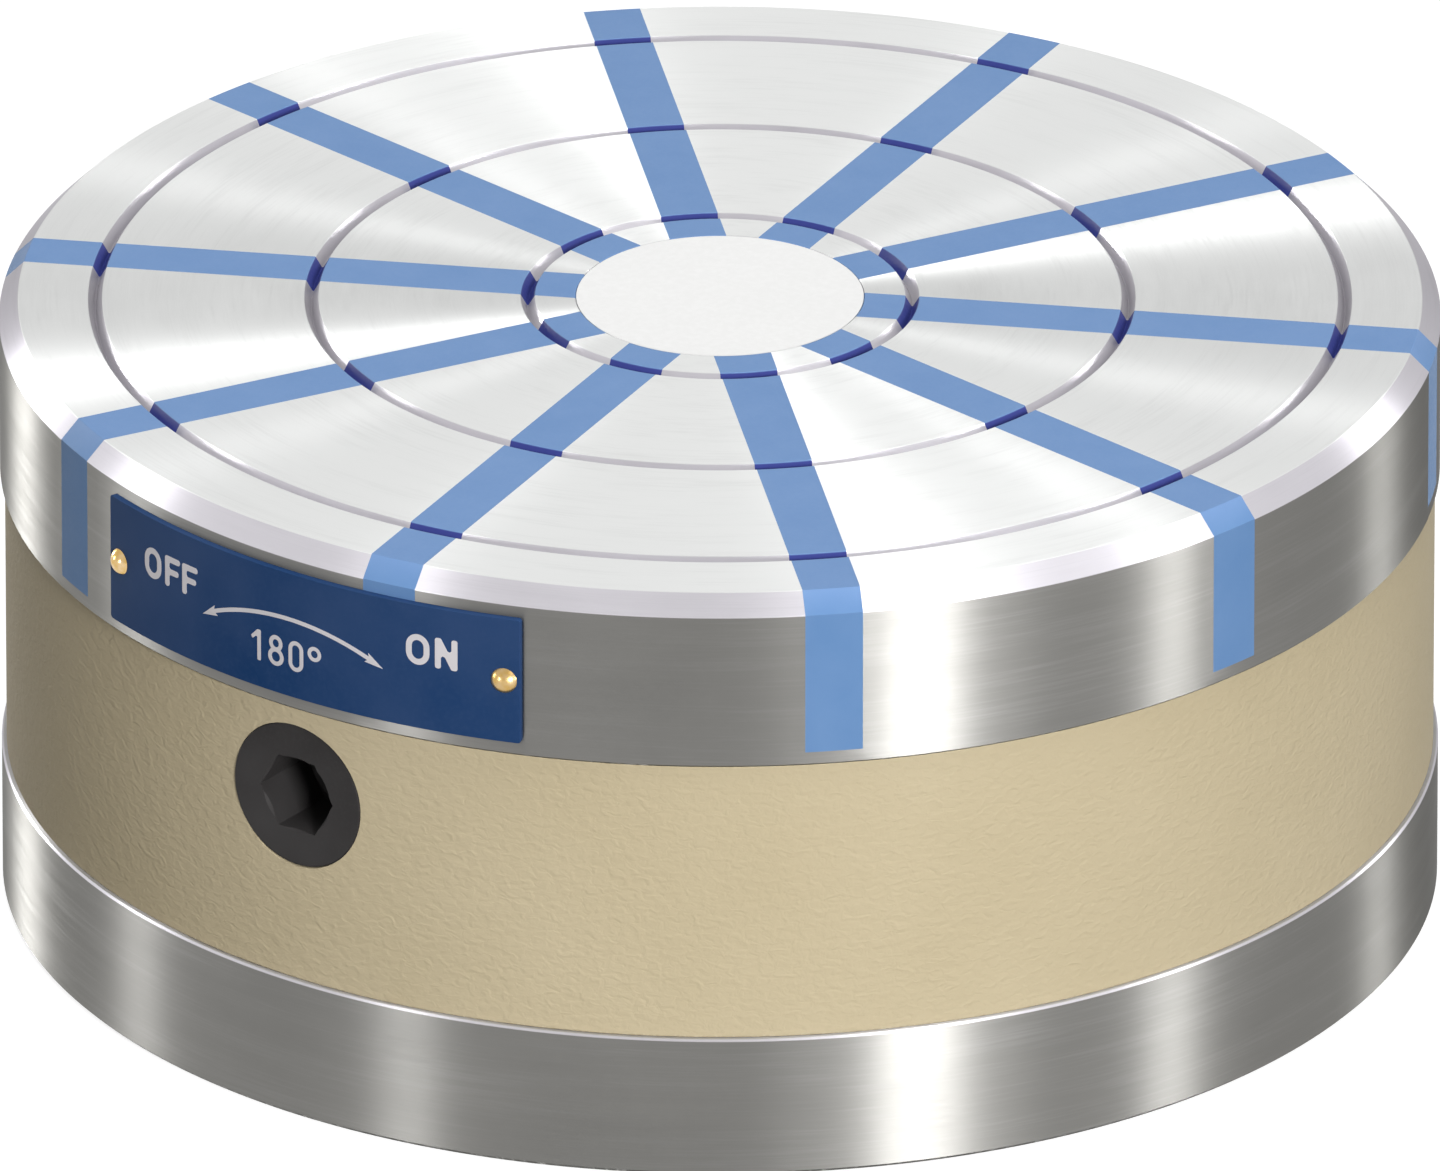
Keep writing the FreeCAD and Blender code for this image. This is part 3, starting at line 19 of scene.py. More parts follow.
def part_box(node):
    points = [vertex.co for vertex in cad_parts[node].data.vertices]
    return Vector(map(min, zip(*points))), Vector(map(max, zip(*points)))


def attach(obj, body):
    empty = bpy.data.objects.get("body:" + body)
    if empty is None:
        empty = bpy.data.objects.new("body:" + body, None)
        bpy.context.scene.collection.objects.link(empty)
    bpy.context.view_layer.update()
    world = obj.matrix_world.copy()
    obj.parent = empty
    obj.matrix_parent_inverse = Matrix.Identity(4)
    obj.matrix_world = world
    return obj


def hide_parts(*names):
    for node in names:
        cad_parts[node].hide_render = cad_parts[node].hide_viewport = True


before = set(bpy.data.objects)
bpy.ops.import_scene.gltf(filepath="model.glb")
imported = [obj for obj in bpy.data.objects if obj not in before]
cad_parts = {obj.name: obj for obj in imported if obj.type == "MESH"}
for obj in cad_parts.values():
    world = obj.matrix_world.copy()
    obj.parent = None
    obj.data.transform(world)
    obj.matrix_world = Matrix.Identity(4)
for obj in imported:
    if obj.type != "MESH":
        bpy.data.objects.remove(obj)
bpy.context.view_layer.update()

LOG = logging.getLogger("magnetic_chuck")
Point = tuple[float, float]
Spot = tuple[float, float, float]
Colour = tuple[float, float, float]
Loops = list[list[Point]]
Reach = float | Callable[[float], float]
Thing = bpy.types.Object
Socket = bpy.types.NodeSocket
Material = bpy.types.Material

MM = 0.001
WELD = 2e-7
STRAIGHT = math.radians(88)
SIDE_SHARE = 0.45
BLACK: Colour = (0.0, 0.0, 0.0)
WHITE: Colour = (1.0, 1.0, 1.0)

FACE_HEIGHT = 65.5
GROOVE_RADII = (20.0, 42.5, 65.0)
GROOVE_HALF_WIDTH = 0.75


class Body(Enum):
    """The bodies of the chuck that the pieces built here ride on."""

    CHUCK = "chuck_body"
    KEY = "key"


def linear(red: int, green: int, blue: int) -> Colour:
    """Turn a colour as it is seen on a screen into the linear colour that shaders take.

    Args:
        red: Red part, 0 to 255.
        green: Green part, 0 to 255.
        blue: Blue part, 0 to 255.

    Returns:
        The three linear parts, 0 to 1.
    """
    parts = []
    for part in (red, green, blue):
        share = part / 255
        parts.append(share / 12.92 if share <= 0.04045 else ((share + 0.055) / 1.055) ** 2.4)
    return (parts[0], parts[1], parts[2])


def polar(radius: float, azimuth: float, height: float) -> Spot:
    """Return the point at a distance from the chuck's axis, an azimuth and a height."""
    turn = math.radians(azimuth)
    return (radius * math.sin(turn), -radius * math.cos(turn), height)


def even(start: float, end: float, count: int) -> list[float]:
    """Return count + 1 values that divide a stretch into equal steps."""
    return [start + (end - start) * step / count for step in range(count + 1)]


def full_turn(count: int) -> list[float]:
    """Return the azimuths of equal steps right round the axis, the first one at 0."""
    return even(0, 360, count)[:-1]


def turned(outline: Sequence[Point], azimuths: Sequence[float]) -> list[list[Spot]]:
    """Return one row of points for each azimuth that an outline of (radius, height) is set at."""
    return [[polar(radius, azimuth, height) for radius, height in outline] for azimuth in azimuths]


def circle(
    distance: float, azimuth: float, radius: float, height: float, steps: int = 40
) -> list[Spot]:
    """Return the points of a level circle beside the axis.

    Args:
        distance: Distance of its middle from the axis.
        azimuth: Azimuth of its middle.
        radius: Radius.
        height: Height.
        steps: Number of points.

    Returns:
        The points.
    """
    x, y, _ = polar(distance, azimuth, height)
    turns = [math.tau * step / steps for step in range(steps)]
    return [(x + radius * math.cos(turn), y + radius * math.sin(turn), height) for turn in turns]


def hexagon(apothem: float, turn: float) -> float:
    """Return a hexagon's radius at a turn in radians, with one of its corners at 0."""
    return apothem / math.cos(turn % (math.pi / 3) - math.pi / 6)


def softened(
    corners: Sequence[Point], radius: float, steps: int = 2, sharp: Collection[int] = ()
) -> list[Point]:
    """Round the corners of a closed outline with small arcs.

    Args:
        corners: The sharp corners in order.
        radius: Radius of the arcs, made smaller where a side is too short for it.
        steps: Number of chords in each arc.
        sharp: Places of the corners that stay as they are, counted back if negative.

    Returns:
        The outline with its arcs.
    """
    count = len(corners)
    kept = {place % count for place in sharp}
    outline: list[Point] = []
    for index, corner in enumerate(corners):
        here = Vector(corner)
        back = Vector(corners[index - 1]) - here
        ahead = Vector(corners[(index + 1) % count]) - here
        half = back.angle(ahead) / 2
        if index in kept or half > STRAIGHT:
            outline.append(corner)
            continue
        reach = min(radius / math.tan(half), back.length * SIDE_SHARE, ahead.length * SIDE_SHARE)
        rounded = reach * math.tan(half)
        inwards = (back.normalized() + ahead.normalized()).normalized()
        middle = here + inwards * (rounded / math.sin(half))
        start = here + back.normalized() * reach - middle
        end = here + ahead.normalized() * reach - middle
        for step in range(steps + 1):
            spoke = start.lerp(end, step / steps).normalized() * rounded
            outline.append((middle.x + spoke.x, middle.y + spoke.y))
    return outline


class Skin:
    """The points and faces of one closed mesh while it is being laid out, in millimetres."""

    def __init__(self) -> None:
        """Start with no points and no faces."""
        self.points: list[Spot] = []
        self.faces: list[list[int]] = []

    def loop(self, spots: Sequence[Spot]) -> list[int]:
        """Add points in order and return their numbers."""
        self.points.extend(spots)
        return list(range(len(self.points) - len(spots), len(self.points)))

    def strip(self, first: Sequence[int], second: Sequence[int], closed: bool = True) -> None:
        """Join two loops with a row of faces.

        Args:
            first: Numbers of one loop's points.
            second: Numbers of the other loop's points, as many.
            closed: Whether the row goes on from the last points to the first ones.
        """
        count = len(first)
        for here in range(count if closed else count - 1):
            ahead = (here + 1) % count
            self.faces.append([first[here], first[ahead], second[ahead], second[here]])

    def net(
        self,
        rows: Sequence[Sequence[Spot]],
        closed: bool = True,
        joined: bool = False,
        capped: bool = False,
    ) -> list[list[int]]:
        """Lay a surface through rows of points.

        Args:
            rows: Rows with equal numbers of points.
            closed: Whether each row is a closed loop.
            joined: Whether the last row is joined to the first one.
            capped: Whether the first and the last row are each filled with a flat face.

        Returns:
            The point numbers of each row.
        """
        numbers = [self.loop(row) for row in rows]
        for first, second in zip(numbers, numbers[1:]):
            self.strip(first, second, closed)
        if joined:
            self.strip(numbers[-1], numbers[0], closed)
        if capped:
            self.fill(numbers[0])
            self.fill(numbers[-1])
        return numbers

    def fill(self, *loops: Sequence[int]) -> None:
        """Close a flat face that may have holes in it.

        Args:
            loops: Point numbers of the outer loop, then of each hole.
        """
        outlines = [[Vector(self.points[number]) for number in loop] for loop in loops]
        numbers = [number for loop in loops for number in loop]
        for corners in tessellate_polygon(outlines):
            self.faces.append([numbers[corner] for corner in corners])

    def piece(self, name: str) -> Thing:
        """Make the object from the points and faces.

        Args:
            name: Name of the object and its mesh.

        Returns:
            The new object, at the origin.
        """
        faces = [
            [number for place, number in enumerate(face) if number != face[place - 1]]
            for face in self.faces
        ]
        mesh = bpy.data.meshes.new(name)
        mesh.from_pydata([Vector(point) * MM for point in self.points], [], faces)
        made = bpy.data.objects.new(name, mesh)
        bpy.context.scene.collection.objects.link(made)
        return made


def settle(made: Thing, sharp: float) -> None:
    """Merge doubles, drop empty faces, turn the faces outwards and set the shading.

    The shading is smooth but for sharp edges, and large faces weigh most in it, so that a flat
    face stays flat up to its softened edges.

    Args:
        made: The object to settle.
        sharp: Angle between faces from which an edge stays sharp.
    """
    work = bmesh.new()
    work.from_mesh(made.data)
    bmesh.ops.remove_doubles(work, verts=work.verts, dist=WELD)
    bmesh.ops.dissolve_degenerate(work, edges=work.edges, dist=WELD / 2)
    bmesh.ops.recalc_face_normals(work, faces=work.faces)
    work.to_mesh(made.data)
    work.free()
    made.data.shade_smooth()
    made.data.set_sharp_from_angle(angle=math.radians(sharp))
    made.modifiers.new("weighted_normals", "WEIGHTED_NORMAL").keep_sharp = True
    flatten(made)


def flatten(made: Thing) -> None:
    """Turn an object's mesh with its modifiers into a plain mesh.

    Args:
        made: The object. Its modifiers are removed.
    """
    bpy.context.view_layer.update()
    ready = made.evaluated_get(bpy.context.evaluated_depsgraph_get())
    mesh = bpy.data.meshes.new_from_object(ready)
    mesh.name = made.name
    made.modifiers.clear()
    made.data = mesh


# ---------------------------------------------------------------- finishes

class Graph:
    """Shader nodes being put together, in a material or in the surroundings."""

    def __init__(self, tree: bpy.types.NodeTree) -> None:
        """Keep the tree that the nodes are added to."""
        self.tree = tree

    def add(self, kind: str, **settings: Any) -> bpy.types.Node:
        """Add a node.

        Args:
            kind: Type name of the node.
            settings: Properties to set on it.

        Returns:
            The node.
        """
        node = self.tree.nodes.new(kind)
        for name, value in settings.items():
            setattr(node, name, value)
        return node

    def put(self, socket: Socket, value: Any) -> None:
        """Join a socket to another one, or set its value.

        Args:
            socket: The input.
            value: An output socket, or a plain value.
        """
        if isinstance(value, Socket):
            self.tree.links.new(value, socket)
        else:
            socket.default_value = (*value, 1.0) if socket.type == "RGBA" else value

    def math(self, operation: str, *values: Any) -> Socket:
        """Work out a number from others.

        Args:
            operation: Name of the operation.
            values: Sockets or numbers.

        Returns:
            The result.
        """
        node = self.add("ShaderNodeMath", operation=operation)
        for socket, value in zip(node.inputs, values):
            self.put(socket, value)
        return node.outputs[0]

    def seen_directly(self) -> Socket:
        """Return 1 for rays from the camera, a reflection or glass, and 0 for light itself."""
        rays = self.add("ShaderNodeLightPath").outputs
        share = self.math("MAXIMUM", rays["Is Camera Ray"], rays["Is Glossy Ray"])
        return self.math("MAXIMUM", share, rays["Is Transmission Ray"])


class Shader(Graph):
    """A material being put together from nodes."""

    def __init__(self, name: str) -> None:
        """Start a material with one principled surface.

        Args:
            name: Name of the material.
        """
        self.material = bpy.data.materials.new(name)
        self.material.use_nodes = True
        super().__init__(self.material.node_tree)
        self.surface = self.tree.nodes["Principled BSDF"]
        self.place = self.add("ShaderNodeTexCoord").outputs["Object"]

    def vector(self, *parts: Any) -> Socket:
        """Join three sockets or numbers into a vector.

        Args:
            parts: The three parts.

        Returns:
            The vector.
        """
        node = self.add("ShaderNodeCombineXYZ")
        for socket, value in zip(node.inputs, parts):
            self.put(socket, value)
        return node.outputs[0]

    def parts(self) -> tuple[Socket, Socket, Socket]:
        """Return the point's x, y and z on the piece."""
        node = self.add("ShaderNodeSeparateXYZ")
        self.put(node.inputs[0], self.place)
        return node.outputs[0], node.outputs[1], node.outputs[2]

    def away(self, across: Socket, along: Socket) -> Socket:
        """Return the distance from the axis of a point at x and y."""
        squares = [self.math("POWER", part, 2.0) for part in (across, along)]
        return self.math("SQRT", self.math("ADD", *squares))

    def noise(
        self, where: Socket, scale: float, detail: float, rough: float, bend: float = 0.0
    ) -> Socket:
        """Add a noise pattern.

        Args:
            where: Vector socket to read it at.
            scale: Repeats in one unit of that vector.
            detail: Number of finer layers.
            rough: Weight of the finer layers.
            bend: How far the pattern is bent.

        Returns:
            The pattern's value, about 0.5 on average.
        """
        node = self.add("ShaderNodeTexNoise")
        names = ("Vector", "Scale", "Detail", "Roughness", "Distortion")
        for name, value in zip(names, (where, scale, detail, rough, bend)):
            self.put(node.inputs[name], value)
        return node.outputs["Fac"]

    def span(
        self, value: Any, low: float, high: float, start: float = 0.0, end: float = 1.0
    ) -> Socket:
        """Stretch one range of values over another, and hold it at the ends.

        Args:
            value: Socket to read.
            low: Value that becomes start.
            high: Value that becomes end.
            start: First value of the result.
            end: Last value of the result.

        Returns:
            The stretched value.
        """
        node = self.add("ShaderNodeMapRange", clamp=True)
        for socket, entry in zip(node.inputs, (value, low, high, start, end)):
            self.put(socket, entry)
        return node.outputs[0]

    def blend(self, share: Any, first: Any, second: Any) -> Socket:
        """Mix two colours.

        Args:
            share: Share of the second colour.
            first: Colour or socket.
            second: Colour or socket.

        Returns:
            The mixed colour.
        """
        node = self.add("ShaderNodeMix", data_type="RGBA")
        for place, value in ((0, share), (6, first), (7, second)):
            self.put(node.inputs[place], value)
        return node.outputs[2]

    def relief(self, height: Any, depth: float, strength: float) -> None:
        """Give the surface a relief.

        Args:
            height: Pattern that rises and falls.
            depth: Depth of the relief in metres.
            strength: Share of its effect.
        """
        node = self.add("ShaderNodeBump")
        for name, value in (("Strength", strength), ("Distance", depth), ("Height", height)):
            self.put(node.inputs[name], value)
        self.put(self.surface.inputs["Normal"], node.outputs[0])

    def set(self, **values: Any) -> None:
        """Set inputs of the surface by name, with _ for a space.

        Args:
            values: Sockets or values.
        """
        for name, value in values.items():
            self.put(self.surface.inputs[name.replace("_", " ")], value)


@dataclass(frozen=True)
class Finish:
    """A named finish that a piece can be dressed in."""

    name: str

    def material(self) -> Material:
        """Build the finish's material."""
        raise NotImplementedError


@dataclass(frozen=True)
class TurnedSteel(Finish):
    """Bright steel with the fine marks that turning and grinding leave round the axis."""

    # side is darkened below bare steel as painted shade; face and chamfer are paler copies of it,
    # painted reflection on the upward faces.
    side: Colour
    face: Colour
    face_height: float
    chamfer_depth: float
    chamfer: Colour = linear(222, 219, 225)
    edge_tint: float = 0.35
    roughness: float = 0.4
    variation: float = 0.10
    streak: float = 7.0
    pitch: float = 3.4
    fade: float = 0.1
    skin: float = 0.03
    depth: float = 0.000006

    def material(self) -> Material:
        """Build the steel: its marks follow circles about the axis, on the faces and the rim. The
        face and the chamfer take paler colours than the rim: painted reflection.
        """
        shader = Shader(self.name)
        across, along, up = shader.parts()
        radius = shader.away(across, along)
        rise = shader.math("SUBTRACT", radius, up)
        round_x = shader.math("DIVIDE", across, radius)
        round_y = shader.math("DIVIDE", along, radius)

        def drawn_out(coarse: int) -> Socket:
            """Return a place that runs slowly along the marks and fast across them."""
            return shader.vector(
                shader.math("MULTIPLY", round_x, self.streak / coarse),
                shader.math("MULTIPLY", round_y, self.streak / coarse),
                shader.math("MULTIPLY", rise, self.pitch / MM / coarse**2),
            )

        marks = shader.noise(drawn_out(1), 1.0, 3.0, 0.6)
        drift = shader.noise(drawn_out(3), 1.0, 3.0, 0.55)
        worn = shader.noise(shader.place, 45.0, 4.0, 0.6)
        shoulder = (self.face_height - self.chamfer_depth) * MM
        top = self.face_height * MM
        # Painted reflection: the chamfer and the face are blended to paler colours than the rim.
        chamfer_reflection_share = shader.span(up, shoulder - self.fade * MM, shoulder)
        face_reflection_share = shader.span(up, top - self.fade * MM, top - self.skin * MM)
        plain = shader.blend(face_reflection_share, shader.blend(chamfer_reflection_share, self.side, self.chamfer), self.face)
        dark = shader.blend(0.5, plain, BLACK)
        light = shader.blend(0.35, plain, WHITE)
        shares = (shader.math("MULTIPLY", marks, 0.6), shader.math("MULTIPLY", drift, 0.4))
        pattern = shader.math("ADD", *shares)
        down = shader.span(pattern, 0.5, 0.2, 0.0, self.variation * 2)
        lift = shader.span(pattern, 0.5, 0.8, 0.0, self.variation * 2)
        scatter = shader.math(
            "ADD",
            shader.span(marks, 0.25, 0.75, -0.05, 0.05),
            shader.span(worn, 0.3, 0.7, -0.03, 0.04),
        )
        shader.set(
            Base_Color=shader.blend(lift, shader.blend(down, plain, dark), light),
            Metallic=1.0,
            Roughness=shader.math("ADD", scatter, self.roughness),
            Anisotropic=1.0,
            Tangent=shader.vector(round_x, round_y, -1.0),
            Specular_Tint=(self.edge_tint,) * 3,
        )
        height = shader.math("ADD", marks, shader.math("MULTIPLY", drift, 0.5))
        shader.relief(height, self.depth, 0.5)
        return shader.material


@dataclass(frozen=True)
class MachinedMetal(Finish):
    """Metal of a machined or turned piece, with faint tool marks and a little soiling."""

    colour: Colour
    roughness: float
    grain: float = 2500.0
    soiling: float = 0.25
    depth: float = 0.000008

    def material(self) -> Material:
        """Build the metal from a fine grain and a broad soiled tone."""
        shader = Shader(self.name)
        grain = shader.noise(shader.place, self.grain, 2.0, 0.6)
        patches = shader.noise(shader.place, 90.0, 4.0, 0.6)
        dark = shader.blend(0.6, self.colour, BLACK)
        light = shader.blend(0.18, self.colour, WHITE)
        share = shader.span(patches, 0.35, 0.75, 0.0, self.soiling)
        fresh = shader.blend(shader.span(grain, 0.4, 0.7), self.colour, light)
        smooth, rough = self.roughness - 0.06, self.roughness + 0.08
        shader.set(
            Base_Color=shader.blend(share, fresh, dark),
            Metallic=1.0,
            Roughness=shader.span(patches, 0.3, 0.7, smooth, rough),
        )
        shader.relief(grain, self.depth, 0.4)
        return shader.material


@dataclass(frozen=True)
class TexturedPaint(Finish):
    """Stoved paint with a fine wrinkled grain."""

    colour: Colour
    # Colour of the paler specks along the ring's top and bottom edges.
    edge_speck_colour: Colour = linear(236, 226, 200)
    wrinkle: float = 1050.0
    stretch: Spot = (0.8, 0.8, 1.25)
    depth: float = 0.00011
    foot: float = 15.5
    crown: float = 46.5

    def material(self) -> Material:
        """Build the paint: short wrinkles with painted shade in their hollows, a slight drift of
        colour, and paler specks along the top and bottom edges.
        """
        shader = Shader(self.name)
        mapping = shader.add("ShaderNodeMapping")
        shader.put(mapping.inputs["Vector"], shader.place)
        shader.put(mapping.inputs["Scale"], self.stretch)
        bends = shader.noise(mapping.outputs[0], self.wrinkle, 2.5, 0.5, 0.6)
        wrinkle = shader.span(bends, 0.32, 0.72)
        fine = shader.noise(shader.place, self.wrinkle * 2.6, 2.0, 0.5)
        drift = shader.noise(shader.place, 30.0, 3.0, 0.5)
        deep = shader.blend(0.07, self.colour, BLACK)
        pale = shader.blend(0.03, self.colour, WHITE)
        tone = shader.blend(shader.span(drift, 0.3, 0.7), deep, pale)
        # Painted shade in the wrinkles' hollows: their low parts are darkened a little towards
        # deep.
        tone = shader.blend(shader.span(wrinkle, 0.0, 0.45, 0.22, 0.0), tone, deep)
        up = shader.parts()[2]
        # Paler specks along the ring's top and bottom edges.
        low = shader.span(up, (self.foot + 0.35) * MM, (self.foot + 0.05) * MM)
        high = shader.span(up, (self.crown - 0.3) * MM, (self.crown - 0.05) * MM)
        rim = shader.math("MAXIMUM", low, high)
        edge_specks = shader.math("MULTIPLY", rim, shader.span(fine, 0.5, 0.62, 0.0, 0.6))
        shader.set(
            Base_Color=shader.blend(edge_specks, tone, self.edge_speck_colour),
            Roughness=shader.span(fine, 0.3, 0.7, 0.5, 0.64),
            Specular_IOR_Level=0.05,
        )
        height = shader.math("ADD", wrinkle, shader.math("MULTIPLY", fine, 0.18))
        shader.relief(height, self.depth, 0.55)
        return shader.material


@dataclass(frozen=True)
class CastResin(Finish):
    """Blue casting resin between the poles, with painted shade inside the centring grooves and a
    top painted paler than its sides.
    """

    # top is a paler copy of side as painted light on the upward face; groove is painted shade for
    # the centring grooves.
    top: Colour
    side: Colour
    groove: Colour
    cloud: Colour = (0.0, 0.0, 0.02)
    depth: float = 0.000012

    def material(self) -> Material:
        """Build the resin with a faint cloudiness and its ground surface."""
        shader = Shader(self.name)
        across, along, up = shader.parts()
        radius = shader.away(across, along)
        cloud = shader.noise(shader.place, 160.0, 4.0, 0.55)
        grain = shader.noise(shader.place, 2600.0, 2.0, 0.5)
        # Painted light: the top is blended to the paler top colour.
        high = shader.span(up, (FACE_HEIGHT - 2.3) * MM, (FACE_HEIGHT - 0.2) * MM)
        tone = shader.blend(high, self.side, self.top)
        pale = shader.blend(0.02, tone, WHITE)
        deep = shader.blend(0.03, tone, self.cloud)
        tone = shader.blend(shader.span(cloud, 0.3, 0.7), deep, pale)
        # Painted shade inside the centring grooves: the resin there is blended to the dark groove
        # colour.
        share: Any = 0.0
        half = GROOVE_HALF_WIDTH * MM
        for groove in GROOVE_RADII:
            away = shader.math("ABSOLUTE", shader.math("SUBTRACT", radius, groove * MM))
            share = shader.math("MAXIMUM", share, shader.span(away, half, half * 0.9))
        shader.set(
            Base_Color=shader.blend(share, tone, self.groove),
            Roughness=shader.span(grain, 0.3, 0.7, 0.42, 0.55),
            Specular_IOR_Level=0.1,
        )
        shader.relief(grain, self.depth, 0.5)
        return shader.material


@dataclass(frozen=True)
class Coat(Finish):
    """Enamel, ink or oxide: a thin even coat with a fine orange peel."""

    colour: Colour
    roughness: float
    metallic: float = 0.0
    peel: float = 1500.0
    depth: float = 0.00001
    shine: float = 0.3

    def material(self) -> Material:
        """Build the coat from a broad drift of tone and a fine peel."""
        shader = Shader(self.name)
        drift = shader.noise(shader.place, 60.0, 3.0, 0.5)
        peel = shader.noise(shader.place, self.peel, 2.0, 0.5)
        dark = shader.blend(0.14, self.colour, BLACK)
        light = shader.blend(0.03, self.colour, WHITE)
        tone = shader.blend(shader.span(drift, 0.3, 0.7), dark, light)
        smooth, rough = self.roughness - 0.05, self.roughness + 0.05
        shader.set(
            Base_Color=shader.blend(shader.span(peel, 0.45, 0.8, 0.0, 0.3), tone, light),
            Metallic=self.metallic,
            Roughness=shader.span(peel, 0.3, 0.7, smooth, rough),
            Specular_IOR_Level=self.shine,
        )
        shader.relief(peel, self.depth, 0.5)
        return shader.material


# The rim colour is darker than bare steel: painted shade.
RIM_STEEL_SHADED = linear(130, 129, 126)

FINISHES: dict[str, Finish] = {
    finish.name: finish
    for finish in (
        # On the base plate the pale face and chamfer colours make a bright band along the top
        # ledge: a painted highlight. On the poles they are painted reflection.
        TurnedSteel("ground_steel", RIM_STEEL_SHADED, linear(208, 207, 208), 15.52, 0.2),
        TurnedSteel("pole_steel", RIM_STEEL_SHADED, linear(247, 248, 247), FACE_HEIGHT, 2.02),
        TexturedPaint("housing_paint", linear(209, 194, 160)),
        MachinedMetal("plug_metal", linear(238, 238, 237), 0.42, grain=1400.0, soiling=0.03),
        # The resin's colours: painted light on the top, painted shade in the grooves.
        CastResin(
            "gap_resin", linear(121, 157, 207), linear(106, 146, 196), linear(62, 70, 140)
        ),
        Coat("nameplate_enamel", linear(20, 62, 112), 0.5, peel=1900.0, shine=0.06),
        Coat("nameplate_ink", linear(228, 224, 227), 0.5, peel=2600.0),
        MachinedMetal("rivet_brass", linear(205, 168, 98), 0.22, grain=900.0, soiling=0.35),
        Coat("black_screw", linear(30, 30, 32), 0.4, metallic=0.6),
        Coat("black_oxide", linear(44, 41, 41), 0.55, peel=2400.0, shine=0.12),
        MachinedMetal("hard_steel", linear(196, 198, 202), 0.22),
        MachinedMetal("gear_steel", linear(150, 152, 156), 0.33, soiling=0.5),
        MachinedMetal("yoke_steel", linear(140, 142, 145), 0.4, soiling=0.5),
        MachinedMetal("bearing_brass", linear(203, 172, 110), 0.3),
        MachinedMetal("bronze", linear(176, 128, 84), 0.35),
        MachinedMetal("spider_aluminium", linear(205, 207, 210), 0.38),
        Coat("magnet_north", linear(150, 44, 40), 0.35, peel=900.0),
        Coat("magnet_south", linear(46, 70, 120), 0.35, peel=900.0),
        Coat("seal_rubber", linear(28, 28, 29), 0.7, peel=700.0, depth=0.00002),
    )
}


class Finishes:
    """Makes each finish once and hands it out by the name of its slot."""

    def __init__(self) -> None:
        """Start with nothing made."""
        self.made: dict[str, Material] = {}

    def get(self, slot: str) -> Material:
        """Return the material of a slot, made when it is first asked for."""
        if slot not in self.made:
            self.made[slot] = FINISHES[slot].material()
        return self.made[slot]

    def dress(self, piece: Thing, slot: str) -> None:
        """Put the finish of a slot on a piece."""
        piece.data.materials.clear()
        piece.data.materials.append(self.get(slot))

    def dress_carried_over(self) -> int:
        """Give each CAD node its procedural finish.

        Returns:
            The number of nodes dressed.
        """
        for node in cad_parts.values():
            for holder in node.material_slots:
                holder.material = self.get(holder.material.name.split(".")[0])
        return len(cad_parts)


# ---------------------------------------------------------------- repeats

@dataclass
class RoundArray:
    """Sets one shape several times round the chuck's axis, through Geometry Nodes."""

    count: int
    first: float
    step: float

    def tree(self) -> bpy.types.NodeTree:
        """Build the node group: points on the axis carry turned copies, which are then welded."""
        group = bpy.data.node_groups.new("round_array", "GeometryNodeTree")
        for name, kind, way in (
            ("Shape", "NodeSocketGeometry", "INPUT"),
            ("Count", "NodeSocketInt", "INPUT"),
            ("First Azimuth", "NodeSocketFloat", "INPUT"),
            ("Azimuth Step", "NodeSocketFloat", "INPUT"),
            ("Weld Distance", "NodeSocketFloat", "INPUT"),
            ("Finish", "NodeSocketMaterial", "INPUT"),
            ("Shape", "NodeSocketGeometry", "OUTPUT"),
        ):
            group.interface.new_socket(name, in_out=way, socket_type=kind)
        given = group.nodes.new("NodeGroupInput")
        result = group.nodes.new("NodeGroupOutput")
        points = group.nodes.new("GeometryNodePoints")
        index = group.nodes.new("GeometryNodeInputIndex")
        turn = group.nodes.new("ShaderNodeMath")
        turn.operation = "MULTIPLY_ADD"
        spin = group.nodes.new("ShaderNodeCombineXYZ")
        copies = group.nodes.new("GeometryNodeInstanceOnPoints")
        real = group.nodes.new("GeometryNodeRealizeInstances")
        weld = group.nodes.new("GeometryNodeMergeByDistance")
        finish = group.nodes.new("GeometryNodeSetMaterial")
        for source, target in (
            (given.outputs["Count"], points.inputs["Count"]),
            (index.outputs[0], turn.inputs[0]),
            (given.outputs["Azimuth Step"], turn.inputs[1]),
            (given.outputs["First Azimuth"], turn.inputs[2]),
            (turn.outputs[0], spin.inputs["Z"]),
            (points.outputs[0], copies.inputs["Points"]),
            (given.outputs["Shape"], copies.inputs["Instance"]),
            (spin.outputs[0], copies.inputs["Rotation"]),
            (copies.outputs[0], real.inputs[0]),
            (real.outputs[0], weld.inputs["Geometry"]),
            (given.outputs["Weld Distance"], weld.inputs["Distance"]),
            (weld.outputs[0], finish.inputs["Geometry"]),
            (given.outputs["Finish"], finish.inputs["Material"]),
            (finish.outputs[0], result.inputs[0]),
        ):
            group.links.new(source, target)
        return group

    def repeat(self, shape: Thing, finish: Material) -> Thing:
        """Repeat a shape and keep the result as one plain mesh.

        Args:
            shape: The shape at azimuth 0.
            finish: Its material.

        Returns:
            The same object, with all the copies in its mesh.
        """
        values = {
            "Count": self.count,
            "First Azimuth": math.radians(self.first),
            "Azimuth Step": math.radians(self.step),
            "Weld Distance": WELD,
            "Finish": finish,
        }
        modifier = shape.modifiers.new("round_array", "NODES")
        modifier.node_group = self.tree()
        for socket in modifier.node_group.interface.items_tree:
            if socket.in_out == "INPUT" and socket.name in values:
                modifier[socket.identifier] = values[socket.name]
        flatten(shape)
        return shape


# ---------------------------------------------------------------- sub-assemblies

